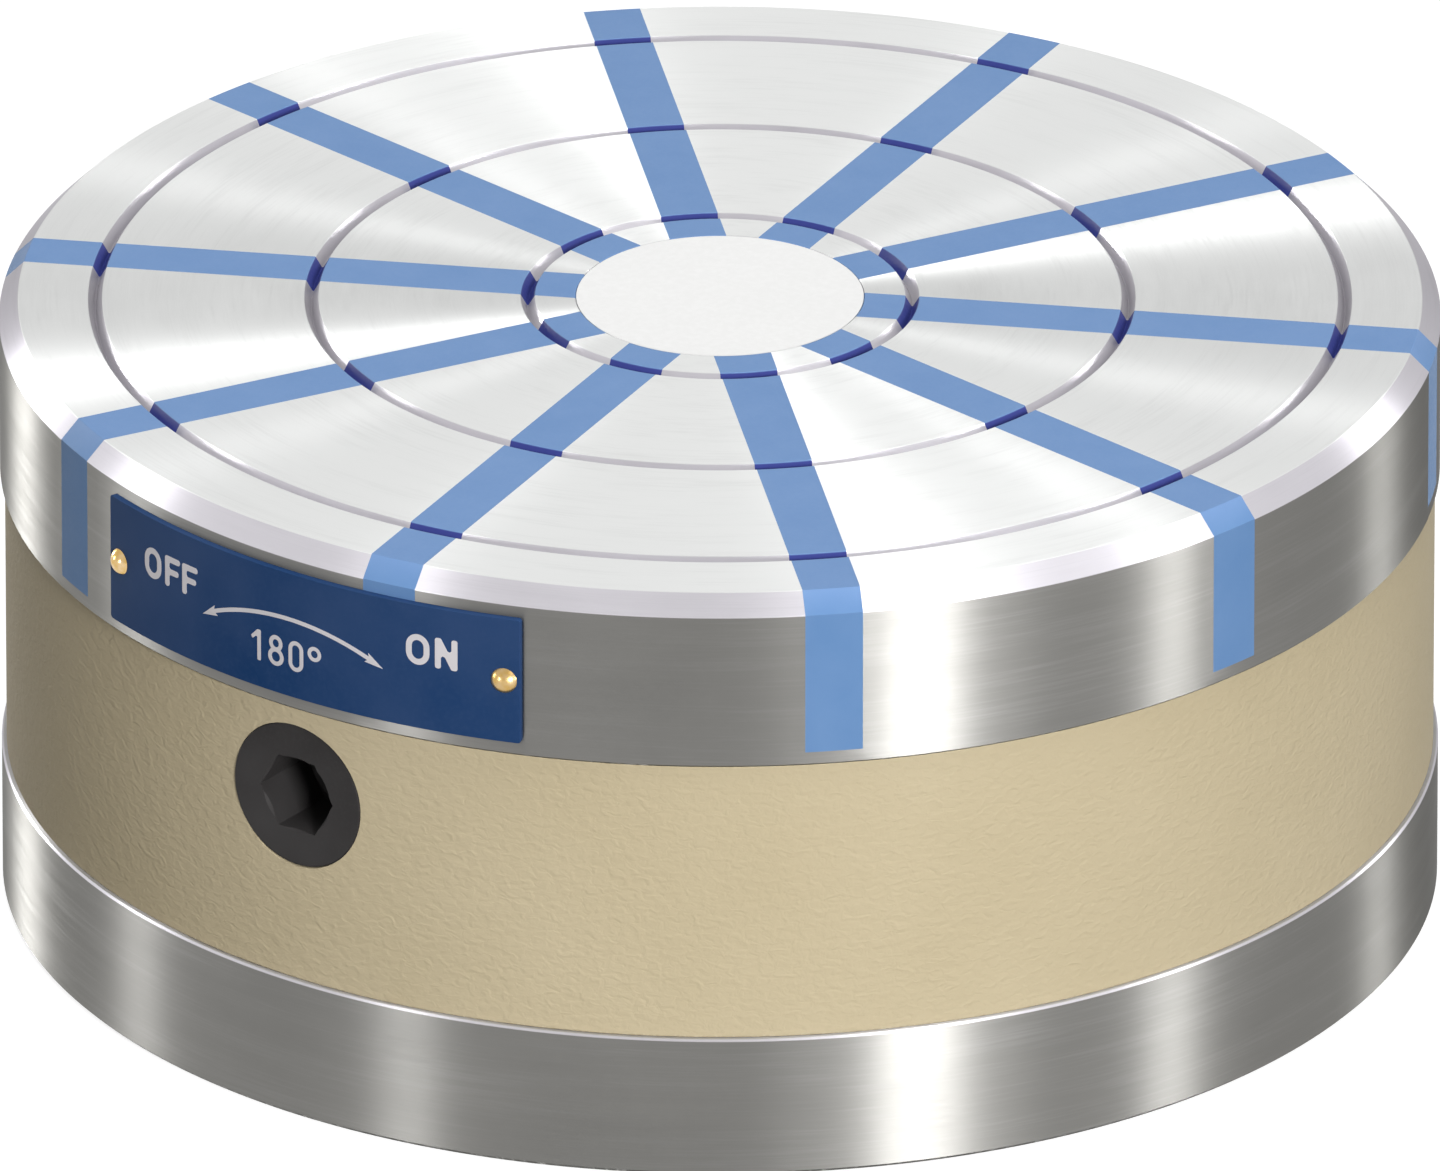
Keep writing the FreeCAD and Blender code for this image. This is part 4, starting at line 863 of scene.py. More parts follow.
@dataclass
class SubAssembly:
    """What each sub-assembly shares: its finishes and the way it hands in a piece."""

    finishes: Finishes

    def hand_in(
        self, piece: Thing, slot: str, body: Body, *nodes: str, sharp: float = 35.0
    ) -> None:
        """Settle and dress a piece, set it on its body and hide the CAD nodes it stands for.

        Args:
            piece: The piece.
            slot: Material slot it takes its finish from.
            body: Body it moves with.
            nodes: CAD nodes it replaces.
            sharp: Angle between faces from which an edge stays sharp.
        """
        settle(piece, sharp)
        self.finishes.dress(piece, slot)
        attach(piece, body.value)
        if nodes:
            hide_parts(*nodes)
        LOG.info("%s: %d faces", piece.name, len(piece.data.polygons))


@dataclass
class PolePlate(SubAssembly):
    """The steel poles with the resin gaps between them, the grooves and the centre plug."""

    rim: float = 75.0
    underside: float = 46.5
    bevel: float = 0.2
    gap_floor: float = 48.0
    face: float = FACE_HEIGHT
    chamfer: float = 2.0
    recess: float = 56.0
    gap_width: float = 6.0
    gap_count: int = 10
    gap_phase: float = 9.0
    groove_depth: float = 1.3
    plug_radius: float = 15.0
    plug_lip: float = 2.5
    plug_lip_top: float = 51.0
    play: float = 0.02
    edge: float = 0.12
    plug_edge: float = 0.15
    pole_columns: int = 26
    gap_columns: int = 6
    plug_columns: int = 144

    def top_outline(self) -> list[Point]:
        """Return the outline over the face, from the rim's chamfer in to the plug.

        Returns:
            Corners as (radius, height).
        """
        corners = [(self.rim, self.face - self.chamfer), (self.rim - self.chamfer, self.face)]
        for groove in reversed(GROOVE_RADII):
            corners.append((groove + GROOVE_HALF_WIDTH, self.face))
            corners.append((groove, self.face - self.groove_depth))
            corners.append((groove - GROOVE_HALF_WIDTH, self.face))
        return [*corners, (self.plug_radius + self.play, self.face)]

    def pole_outline(self) -> list[Point]:
        """Return a pole's outline above the web, open between the recess and the rim.

        Returns:
            Corners as (radius, height).
        """
        bore, lip = self.plug_radius + self.play, self.plug_radius + self.plug_lip
        corners = [
            (self.rim, self.gap_floor),
            *self.top_outline(),
            (bore, self.plug_lip_top),
            (lip, self.plug_lip_top),
            (lip, self.gap_floor + self.edge),
            (self.recess, self.gap_floor),
        ]
        return softened(corners, self.edge, sharp=(0, -2, -1))

    def edge_azimuth(self, radius: float) -> float:
        """Return how far a pole reaches from its middle at a radius, in degrees."""
        return 180 / self.gap_count - math.degrees(math.asin(self.gap_width / 2 / radius))

    def across_pole(self, outline: Sequence[Point]) -> list[list[Spot]]:
        """Set an outline at even shares of the way from one edge of a pole to the other.

        Args:
            outline: Its corners as (radius, height).

        Returns:
            One row of points for each share.
        """
        return [
            [polar(radius, share * self.edge_azimuth(radius), height) for radius, height in outline]
            for share in even(-1.0, 1.0, self.pole_columns)
        ]

    def poles(self) -> Thing:
        """Build one pole with its share of the web, and repeat it round the axis.

        Returns:
            The pole plate.
        """
        skin = Skin()
        skin.net(self.across_pole(self.pole_outline()), closed=False, capped=True)
        web = [
            (self.rim, self.gap_floor),
            (self.rim, self.underside + self.bevel),
            (self.rim - self.bevel, self.underside),
            (self.recess, self.underside),
            (self.recess, self.gap_floor),
        ]
        half_pitch = 180 / self.gap_count
        left, right = turned(web, (-half_pitch, half_pitch))
        numbers = skin.net([left, *self.across_pole(web), right], closed=False)
        for first, second in (numbers[:2], numbers[-2:]):
            skin.strip([first[-1], first[0]], [second[-1], second[0]], closed=False)
        array = RoundArray(self.gap_count, self.gap_phase + half_pitch, 2 * half_pitch)
        return array.repeat(skin.piece("pole_plate_turned"), self.finishes.get("pole_steel"))

    def gaps(self) -> Thing:
        """Build one resin bar and repeat it round the axis.

        Returns:
            The ten bars.
        """
        skin = Skin()
        foot = [(radius, self.gap_floor) for radius in (self.rim, self.plug_radius + self.play)]
        outline = softened([foot[0], *self.top_outline(), foot[1]], self.edge, sharp=(0, -1))
        rows = [
            [(across, -math.sqrt(radius**2 - across**2), height) for radius, height in outline]
            for across in even(-self.gap_width / 2, self.gap_width / 2, self.gap_columns)
        ]
        skin.net(rows, capped=True)
        array = RoundArray(self.gap_count, self.gap_phase, 360 / self.gap_count)
        return array.repeat(skin.piece("pole_gap_bars"), self.finishes.get("gap_resin"))

    def plug(self) -> Thing:
        """Build the round plug in the middle of the poles.

        Returns:
            The plug.
        """
        skin = Skin()
        lip = self.plug_radius + self.plug_lip - self.play
        lip_top = self.plug_lip_top - self.play
        corners = [
            (0.0, self.gap_floor),
            (lip, self.gap_floor),
            (lip, lip_top),
            (self.plug_radius, lip_top),
            (self.plug_radius, self.face),
            (0.0, self.face),
        ]
        outline = softened(corners, self.plug_edge, sharp=(0, -1))
        outline.insert(-1, (self.plug_radius / 2, self.face))
        skin.net(turned(outline, full_turn(self.plug_columns)), closed=False, joined=True)
        return skin.piece("centre_plug_disc")

    def build(self) -> None:
        """Build and hand in the poles, the gaps and the plug."""
        gap_nodes = [f"pole_gap_{number:02d}" for number in range(1, self.gap_count + 1)]
        self.hand_in(self.poles(), "pole_steel", Body.CHUCK, "pole_plate")
        self.hand_in(self.gaps(), "gap_resin", Body.CHUCK, *gap_nodes)
        self.hand_in(self.plug(), "plug_metal", Body.CHUCK, "centre_plug")


@dataclass
class HousingRing(SubAssembly):
    """The painted ring between the plates, with the cross bore for the key shaft."""

    outer: float = 74.5
    inner: float = 58.0
    foot: float = 15.5
    crown: float = 46.5
    edge: float = 0.25
    bore: float = 8.04
    bore_height: float = 36.4
    patch: float = 14.0
    patch_columns: int = 24
    other_columns: int = 266
    rows: int = 16
    ring_shares: tuple[float, ...] = (0.0, 0.06, 0.2, 0.42, 0.7, 1.0)

    def wall(
        self, skin: Skin, radius: float, azimuths: Sequence[float], heights: Sequence[float]
    ) -> list[int]:
        """Lay the part of a wall round the cross bore.

        Args:
            skin: Mesh to add to.
            radius: Radius of the wall.
            azimuths: Azimuths of the patch's columns.
            heights: Heights of the patch's rows.

        Returns:
            Point numbers of the bore's edge in this wall.
        """
        rim = [(azimuth, heights[0]) for azimuth in azimuths]
        rim += [(azimuths[-1], height) for height in heights[1:]]
        rim += [(azimuth, heights[-1]) for azimuth in reversed(azimuths[:-1])]
        rim += [(azimuths[0], height) for height in reversed(heights[1:-1])]
        rings: list[list[Spot]] = [[] for _ in self.ring_shares]
        for azimuth, height in rim:
            turn = math.atan2(height - self.bore_height, math.radians(azimuth) * self.outer)
            near = math.degrees(math.asin(self.bore * math.cos(turn) / radius))
            low = self.bore_height + self.bore * math.sin(turn)
            for ring, share in zip(rings, self.ring_shares):
                ring.append(
                    polar(radius, near + (azimuth - near) * share, low + (height - low) * share)
                )
        return skin.net(rings)[0]

    def ring(self) -> Thing:
        """Build the ring.

        Returns:
            The ring as one closed mesh.
        """
        skin = Skin()
        radii = (self.outer, self.inner)
        heights = even(self.foot + self.edge, self.crown - self.edge, self.rows)
        patch = even(-self.patch, self.patch, self.patch_columns)
        rest = even(self.patch, 360 - self.patch, self.other_columns)
        for radius in radii:
            skin.net(turned([(radius, height) for height in heights], rest), closed=False)
        skin.strip(*(self.wall(skin, radius, patch, heights) for radius in radii))
        corners = [
            (self.inner, self.crown),
            (self.outer, self.crown),
            (self.outer, self.foot),
            (self.inner, self.foot),
        ]
        outline = softened(corners, self.edge, 3)
        half = len(outline) // 2
        for part in (outline[:half], outline[half:]):
            skin.net(turned(part, patch[:-1] + rest[:-1]), closed=False, joined=True)
        return skin.piece("housing_ring_painted")

    def build(self) -> None:
        """Build and hand in the ring."""
        self.hand_in(self.ring(), "housing_paint", Body.CHUCK, "housing_ring")


@dataclass
class BasePlate(SubAssembly):
    """The ground steel base with its locating recess, screw pockets and fixing threads."""

    rim: float = 75.0
    top: float = 15.5
    break_low: float = 0.4
    break_high: float = 0.2
    hole_break: float = 0.15
    recess: float = 15.0
    recess_break: float = 0.2
    recess_depth: float = 4.0
    pivot_head: float = 11.02
    pivot_head_top: float = 8.02
    pivot: float = 7.02
    seat: float = 23.6
    seat_floor: float = 14.0
    screw_circle: float = 67.5
    screw_count: int = 10
    screw_phase: float = 18.0
    screw_hole: float = 3.3
    screw_pocket: float = 5.3
    screw_pocket_depth: float = 6.3
    thread_circle: float = 50.0
    thread_count: int = 4
    thread: float = 3.4
    thread_break: float = 0.5
    thread_depth: float = 11.0
    screw_shank: float = 3.0
    screw_reach: float = 4.0
    screw_head: float = 5.0
    screw_head_low: float = 0.3
    screw_head_height: float = 6.0
    screw_socket: float = 2.5
    screw_socket_depth: float = 3.0
    screw_steps: int = 48
    columns: int = 288

    def plate(self) -> Thing:
        """Build the plate.

        Returns:
            The plate as one closed mesh.
        """
        skin = Skin()
        azimuths = full_turn(self.columns)

        def rings(outline: Sequence[Point]) -> list[list[int]]:
            """Turn an open outline round the axis and return the point numbers of its rings."""
            return skin.net([
                [polar(radius, azimuth, height) for azimuth in azimuths]
                for radius, height in outline
            ])

        def hole(distance: float, azimuth: float, outline: Sequence[Point]) -> list[list[int]]:
            """Sink a round hole and return the point numbers of its circles."""
            return skin.net([circle(distance, azimuth, *corner) for corner in outline])

        rim = rings([
            (self.rim - self.break_low, 0.0),
            (self.rim, self.break_low),
            (self.rim, self.top - self.break_high),
            (self.rim - self.break_high, self.top),
        ])
        well = rings([
            (self.recess + self.recess_break, 0.0),
            (self.recess, self.recess_break),
            (self.recess, self.recess_depth),
            (self.pivot_head, self.recess_depth),
            (self.pivot_head, self.pivot_head_top),
            (self.pivot, self.pivot_head_top),
            (self.pivot, self.seat_floor),
            (self.seat, self.seat_floor),
            (self.seat, self.top),
        ])
        pocket = [
            (self.screw_pocket + self.hole_break, 0.0),
            (self.screw_pocket, self.hole_break),
            (self.screw_pocket, self.screw_pocket_depth),
            (self.screw_hole, self.screw_pocket_depth),
            (self.screw_hole, self.top),
        ]
        thread = [
            (self.thread + self.thread_break, 0.0),
            (self.thread, self.thread_break),
            (self.thread, self.thread_depth),
        ]
        low_holes, high_holes = [], []
        for index in range(self.screw_count):
            azimuth = self.screw_phase + index * 360 / self.screw_count
            circles = hole(self.screw_circle, azimuth, pocket)
            low_holes.append(circles[0])
            high_holes.append(circles[-1])
        for index in range(self.thread_count):
            circles = hole(self.thread_circle, (index + 0.5) * 360 / self.thread_count, thread)
            skin.fill(circles[-1])
            low_holes.append(circles[0])
        skin.fill(rim[0], well[0], *low_holes)
        skin.fill(rim[-1], well[-1], *high_holes)
        return skin.piece("base_plate_ground")

    def screws(self) -> Thing:
        """Build one socket head screw and repeat it in the pockets.

        Returns:
            The ten screws.
        """
        skin = Skin()
        low = self.screw_head_low
        outline = [
            (self.screw_shank, self.top + self.screw_reach),
            (self.screw_shank, low + self.screw_head_height),
            (self.screw_head, low + self.screw_head_height),
            (self.screw_head, low + 0.5),
            (self.screw_head - 0.12, low + 0.15),
            (self.screw_head - 0.5, low),
            (self.screw_socket * 1.2, low),
        ]
        rows = [circle(self.screw_circle, 0.0, *corner, self.screw_steps) for corner in outline]
        for height in (low, low + self.screw_socket_depth):
            row = []
            for turn in even(0, math.tau, self.screw_steps)[:-1]:
                reach = hexagon(self.screw_socket, turn + math.pi / 6)
                along = reach * math.sin(turn) - self.screw_circle
                row.append((reach * math.cos(turn), along, height))
            rows.append(row)
        skin.net(rows, capped=True)
        array = RoundArray(self.screw_count, self.screw_phase, 360 / self.screw_count)
        return array.repeat(skin.piece("body_screw_heads"), self.finishes.get("black_screw"))

    def build(self) -> None:
        """Build and hand in the plate and its screws."""
        self.hand_in(self.plate(), "ground_steel", Body.CHUCK, "base_plate")
        self.hand_in(self.screws(), "black_screw", Body.CHUCK, "body_screws")


@dataclass
class KeyShaft(SubAssembly):
    """The blackened shaft whose hexagon socket takes the key."""

    height: float = 36.4
    radius: float = 8.0
    end: float = 74.3
    shoulder: float = 58.22
    spigot: float = 3.0
    spigot_end: float = 48.1
    seal_place: float = 72.4
    seal_half_width: float = 0.92
    seal_floor: float = 6.52
    stop_place: float = 64.0
    stop_half_width: float = 1.4
    stop_root: float = 5.5
    apothem: float = 4.0
    sink: float = 0.28
    socket_depth: float = 8.0
    drill_margin: float = 0.02
    drill_depth: float = 2.4
    columns: int = 120

    def ring(self, reach: Reach, place: Reach) -> list[Spot]:
        """Return a ring of points about the shaft's axis.

        Args:
            reach: Radius, or a function that gives it for a turn in radians.
            place: Distance from the chuck's axis, or a function that gives it for a turn.

        Returns:
            The points.
        """
        spots = []
        for step in range(self.columns):
            turn = math.tau * step / self.columns
            radius = reach(turn) if callable(reach) else reach
            depth = place(turn) if callable(place) else place
            spots.append((radius * math.cos(turn), -depth, self.height + radius * math.sin(turn)))
        return spots

    def socket(self, turn: float) -> float:
        """Return the socket's radius at a turn, with corners at the left and the right."""
        return hexagon(self.apothem, turn)

    def mouth(self, turn: float) -> float:
        """Return the radius of the socket's countersunk mouth at a turn."""
        return max(self.socket(turn), self.apothem + self.sink)

    def mouth_floor(self, turn: float) -> float:
        """Return where the countersunk mouth meets the socket at a turn."""
        return self.end - (self.mouth(turn) - self.socket(turn))

    def groove(self, turn: float) -> float:
        """Return the radius in the stop groove: it runs half way round, on the +X side."""
        inside = math.cos(turn) > -self.stop_half_width / self.stop_root
        return self.stop_root if inside else self.radius

    def shaft(self) -> Thing:
        """Build the shaft.

        Returns:
            The shaft as one closed mesh.
        """
        skin = Skin()
        stop_in, stop_out = (self.stop_place + side * self.stop_half_width for side in (-1, 1))
        seal_in, seal_out = (self.seal_place + side * self.seal_half_width for side in (-1, 1))
        floor = self.end - self.socket_depth
        profile = (
            (self.spigot, self.spigot_end),
            (self.spigot, self.shoulder),
            (self.radius, self.shoulder),
            (self.radius, stop_in),
            (self.groove, stop_in),
            (self.groove, stop_out),
            (self.radius, stop_out),
            (self.radius, seal_in),
            (self.seal_floor, seal_in),
            (self.seal_floor, seal_out),
            (self.radius, seal_out),
            (self.radius, self.end - 0.2),
            (self.radius - 0.06, self.end - 0.06),
            (self.radius - 0.2, self.end),
            (self.mouth, self.end),
            (self.socket, self.mouth_floor),
            (self.socket, floor),
            (self.apothem - self.drill_margin, floor),
            (0.0, floor - self.drill_depth),
        )
        numbers = skin.net([self.ring(reach, place) for reach, place in profile])
        skin.fill(numbers[0])
        return skin.piece("key_shaft_black")

    def build(self) -> None:
        """Build and hand in the shaft."""
        self.hand_in(self.shaft(), "black_oxide", Body.KEY, "key_shaft", sharp=25.0)


# ---------------------------------------------------------------- nameplate

def arc(centre: Point, radii: Point, start: float, end: float, steps: int) -> list[Point]:
    """Return points on an arc of an ellipse.

    Args:
        centre: Middle of the ellipse.
        radii: Its two half axes.
        start: Start angle in degrees.
        end: End angle in degrees.
        steps: Number of chords.

    Returns:
        The points.
    """
    turns = [math.radians(turn) for turn in even(start, end, steps)]
    return [
        (centre[0] + radii[0] * math.cos(turn), centre[1] + radii[1] * math.sin(turn))
        for turn in turns
    ]


@dataclass(frozen=True)
class Sign:
    """A letter or figure in its box. Its outlines are closed loops of (along, up)."""

    left: float
    low: float
    width: float
    height: float
    stroke: float

    def stadium(self, inset: float) -> list[Point]:
        """Return an upright oval with straight sides, moved in from the box.

        Args:
            inset: Distance from the box.

        Returns:
            The outline.
        """
        half = self.width / 2 - inset
        reach = half * 1.05
        middle = self.left + self.width / 2
        top = self.low + self.height - inset - reach
        foot = self.low + inset + reach
        upper = arc((middle, top), (half, reach), 0, 180, 14)
        return upper + arc((middle, foot), (half, reach), 180, 360, 14)

    def oval(self) -> Loops:
        """Return a letter O or a figure 0."""
        return [self.stadium(0.0), self.stadium(self.stroke)]

    def letter_f(self) -> Loops:
        """Return a letter F."""
        left, stem, top = self.left, self.left + self.stroke, self.low + self.height
        middle, half = self.low + self.height * 0.5, self.stroke / 2
        tongue, right = left + self.width * 0.9, left + self.width
        corners = [
            (left, self.low),
            (stem, self.low),
            (stem, middle - half),
            (tongue, middle - half),
            (tongue, middle + half),
            (stem, middle + half),
            (stem, top - self.stroke),
            (right, top - self.stroke),
            (right, top),
            (left, top),
        ]
        return [softened(corners, self.stroke * 0.42, 4)]

    def letter_n(self) -> Loops:
        """Return a letter N."""
        left, right = self.left, self.left + self.width
        low, top = self.low, self.low + self.height
        stroke, slope = self.stroke, self.stroke * 1.9
        corners = [
            (left, low),
            (left + stroke, low),
            (left + stroke, top - slope),
            (right - stroke, low),
            (right, low),
            (right, top),
            (right - stroke, top),
            (right - stroke, low + slope),
            (left + stroke, top),
            (left, top),
        ]
        return [softened(corners, stroke * 0.38, 4)]

    def figure_one(self) -> Loops:
        """Return a figure 1, whose stem is at the right of its box."""
        right, stem = self.left + self.width, self.left + self.width - self.stroke
        top, flag = self.low + self.height, self.low + self.height * 0.76
        corners = [
            (stem, self.low),
            (right, self.low),
            (right, top),
            (stem, top),
            (self.left, flag),
            (self.left + self.stroke * 0.35, flag - self.stroke * 0.85),
            (stem, top - self.stroke * 1.35),
        ]
        return [softened(corners, self.stroke * 0.3, 4)]

    def figure_eight(self) -> Loops:
        """Return a figure 8 whose upper bowl is a little smaller than the lower one."""
        middle = self.left + self.width / 2
        bowls = [
            ((middle, self.low + self.height * rise), (self.width * wide, self.height * high))
            for rise, wide, high in ((0.295, 0.5, 0.295), (0.735, 0.43, 0.265))
        ]
        sides = []
        for turn in even(0, 180, 48):
            up = self.low + self.height * (1 - math.cos(math.radians(turn))) / 2
            reaches = [
                radii[0] * math.sqrt(max(0.0, 1 - (abs(up - centre[1]) / radii[1]) ** 2))
                for centre, radii in bowls
            ]
            sides.append((max(reaches), up))
        outline = [(middle + reach, up) for reach, up in sides]
        outline += [(middle - reach, up) for reach, up in reversed(sides[1:-1])]
        stroke = self.stroke
        holes = [
            arc(centre, (radii[0] - stroke, radii[1] - stroke), 0, 345, 23)
            for centre, radii in bowls
        ]
        return [outline, *holes]

    def degree(self) -> Loops:
        """Return a degree sign."""
        half = self.width / 2
        centre = (self.left + half, self.low + half)
        return [arc(centre, (reach, reach), 0, 345, 23) for reach in (half, half - self.stroke)]


@dataclass(frozen=True)
class TurnArrow:
    """An arc with a head at each end."""

    tip: Point = (11.55, 54.13)
    crown: float = 57.0
    stroke: float = 0.46
    head: float = 1.9
    half_head: float = 0.58
    barb: float = 0.12
    steps: int = 56

    def loops(self) -> Loops:
        """Return the outline, worked out from the circle through both tips and the crown."""
        drop = self.crown - self.tip[1]
        radius = (self.tip[0] ** 2 + drop**2) / (2 * drop)
        end = math.degrees(math.asin(self.tip[0] / radius))
        neck = end - math.degrees(self.head / radius)
        barb = neck - math.degrees(self.barb * self.head / radius)

        def at(rise: float, turn: float) -> Point:
            """Return the point at a distance outside the arc and a turn from straight up."""
            reach = radius + rise
            across = reach * math.sin(math.radians(turn))
            return (across, self.crown - radius + reach * math.cos(math.radians(turn)))

        wide, half = self.half_head, self.stroke / 2
        outline = [at(half, turn) for turn in even(-neck, neck, self.steps)]
        outline += [at(wide, barb), at(0.0, end), at(-wide, barb)]
        outline += [at(-half, turn) for turn in even(neck, -neck, self.steps)]
        outline += [at(-wide, -barb), at(0.0, -end), at(wide, -barb)]
        return [outline]


@dataclass
class Nameplate(SubAssembly):
    """The curved blue plate over the key with its lettering and its two rivets."""

    back: float = 75.02
    thickness: float = 0.7
    corner: float = 0.35
    corner_steps: int = 5
    columns: int = 90
    edge: float = 0.1
    cap_height: float = 3.45
    word_floor: float = 55.43
    figure_floor: float = 51.25
    word_stroke: float = 0.66
    figure_stroke: float = 0.46
    ink: float = 0.03
    ink_step: float = 0.4
    rivet_radius: float = 1.4
    rivet_height: float = 0.8
    rivet_base: float = 0.05
    rivet_shank: float = 0.8
    rivet_reach: float = 3.8
    rivet_columns: int = 48
    rivet_azimuth: float = 18.95

    def __post_init__(self) -> None:
        """Read the plate's reach from its CAD node."""
        low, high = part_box("nameplate")
        self.front = self.back + self.thickness
        self.half_length = math.asin(high.x / MM / self.front) * self.front
        self.foot = low.z / MM
        self.crown = high.z / MM
        self.middle = (self.foot + self.crown) / 2

    def wrapped(self, along: float, height: float, reach: float) -> Spot:
        """Return the place on the rim, at a radius, of a point of the flat drawing."""
        return polar(reach, math.degrees(along / self.front), height)

    def plate(self) -> Thing:
        """Build the curved plate with rounded corners and softened edges.

        Returns:
            The plate.
        """
        skin = Skin()
        bend = [math.radians(turn) for turn in even(0, 90, self.corner_steps)]
        ends = [self.corner * (1 - math.cos(turn)) - self.half_length for turn in bend]
        places = ends + even(ends[-1], -ends[-1], self.columns)[1:-1]
        places += [-place for place in reversed(ends)]

        def loop(inset: float, reach: float) -> list[Spot]:
            """Return the plate's outline, moved in and set at a radius."""
            upper, lower = [], []
            for along in places:
                past = max(0.0, abs(along) - (self.half_length - self.corner))
                cut = self.corner - math.sqrt(max(0.0, self.corner**2 - past**2))
                share = (self.half_length - inset) / self.half_length
                upper.append(self.wrapped(along * share, self.crown - cut - inset, reach))
                lower.append(self.wrapped(along * share, self.foot + cut + inset, reach))
            return lower + list(reversed(upper))

        numbers = skin.net([
            loop(0.0, self.back),
            loop(0.0, self.front - self.edge),
            loop(self.edge * 0.3, self.front - self.edge * 0.3),
            loop(self.edge, self.front),
        ])
        count = len(places)
        for ring in (numbers[0], numbers[-1]):
            skin.strip(ring[:count], list(reversed(ring[count:])), closed=False)
        return skin.piece("nameplate_curved")

    def raise_sign(self, skin: Skin, loops: Loops) -> None:
        """Wrap a flat sign round the plate's front and give it the ink's thickness.

        Args:
            skin: Mesh to add to.
            loops: The sign's outline and its holes.
        """
        flat = bmesh.new()
        drawn = [flat.verts.new((along, up, 0.0)) for loop in loops for along, up in loop]
        outlines = [[Vector((along, up, 0.0)) for along, up in loop] for loop in loops]
        for triple in tessellate_polygon(outlines):
            flat.faces.new([drawn[corner] for corner in triple])
        left = min(vertex.co.x for vertex in drawn)
        right = max(vertex.co.x for vertex in drawn)
        for cut in even(left, right, max(2, round((right - left) / self.ink_step)))[1:-1]:
            parts = flat.verts[:] + flat.edges[:] + flat.faces[:]
            bmesh.ops.bisect_plane(flat, geom=parts, plane_co=(cut, 0, 0), plane_no=(1, 0, 0))
        flat.verts.index_update()
        for reach in (self.front + self.ink, self.front - self.ink):
            spots = [self.wrapped(vertex.co.x, vertex.co.y, reach) for vertex in flat.verts]
            numbers = skin.loop(spots)
            skin.faces += [[numbers[vertex.index] for vertex in face.verts] for face in flat.faces]
        shift = len(flat.verts)
        for edge in flat.edges:
            if len(edge.link_faces) == 1:
                first, second = (numbers[vertex.index] for vertex in edge.verts)
                skin.faces.append([first, second, second - shift, first - shift])
        flat.free()

    def lettering(self) -> Thing:
        """Build the raised signs: OFF, the turn arrow with 180 degrees, and ON.

        Returns:
            The signs as one piece.
        """
        word = {"low": self.word_floor, "height": self.cap_height, "stroke": self.word_stroke}
        figure = {"low": self.figure_floor, "height": self.cap_height, "stroke": self.figure_stroke}
        raised = {"low": self.figure_floor + 1.74, "height": 1.68, "stroke": 0.4232}
        skin = Skin()
        for loops in (
            Sign(left=-20.6, width=2.68, **word).oval(),
            Sign(left=-17.29, width=2.3, **word).letter_f(),
            Sign(left=-14.63, width=2.3, **word).letter_f(),
            Sign(left=14.23, width=2.66, **word).oval(),
            Sign(left=17.5, width=2.5, **word).letter_n(),
            Sign(left=-4.78, width=1.28, **figure).figure_one(),
            Sign(left=-2.53, width=2.0, **figure).figure_eight(),
            Sign(left=0.11, width=1.86, **figure).oval(),
            Sign(left=2.52, width=1.68, **raised).degree(),
            TurnArrow().loops(),
        ):
            self.raise_sign(skin, loops)
        return skin.piece("nameplate_lettering")

    def rivets(self) -> Thing:
        """Build one domed rivet and set it at both ends of the plate.

        Returns:
            The two rivets.
        """
        skin = Skin()
        dome = (self.rivet_radius**2 + self.rivet_height**2) / (2 * self.rivet_height)
        limit = math.degrees(math.asin(self.rivet_radius / dome))
        outline = [
            (0.0, self.back - self.rivet_reach),
            (self.rivet_shank, self.back - self.rivet_reach),
            (self.rivet_shank, self.front),
            (self.rivet_radius - 0.06, self.front),
        ]
        foot = self.front + self.rivet_base + self.rivet_height - dome
        outline += arc((0.0, foot), (dome, dome), 90 - limit, 90, 10)
        rows = [
            [
                (reach * math.cos(turn), -place, self.middle + reach * math.sin(turn))
                for reach, place in outline
            ]
            for turn in even(0, math.tau, self.rivet_columns)[:-1]
        ]
        skin.net(rows, closed=False, joined=True)
        array = RoundArray(2, -self.rivet_azimuth, 2 * self.rivet_azimuth)
        return array.repeat(skin.piece("nameplate_rivet_domes"), self.finishes.get("rivet_brass"))

    def build(self) -> None:
        """Build and hand in the plate, its rivets and its lettering."""
        self.hand_in(self.plate(), "nameplate_enamel", Body.CHUCK, "nameplate")
        self.hand_in(self.rivets(), "rivet_brass", Body.CHUCK, "nameplate_rivets")
        signs = self.lettering()
        self.hand_in(signs, "nameplate_enamel", Body.CHUCK)
        self.finishes.dress(signs, "nameplate_ink")


# ---------------------------------------------------------------- studio

def set_up(made: Thing, aim: Vector, azimuth: float, elevation: float, distance: float) -> None:
    """Set a lamp or camera round a point, facing it.

    Args:
        made: The lamp or camera.
        aim: Point that it faces, in metres.
        azimuth: Direction from that point.
        elevation: Angle above the level.
        distance: Distance in metres.
    """
    flat = distance * math.cos(math.radians(elevation))
    rise = distance * math.sin(math.radians(elevation))
    made.location = aim + Vector(polar(flat, azimuth, rise))
    made.rotation_euler = (aim - made.location).to_track_quat("-Z", "Y").to_euler()
    bpy.context.scene.collection.objects.link(made)


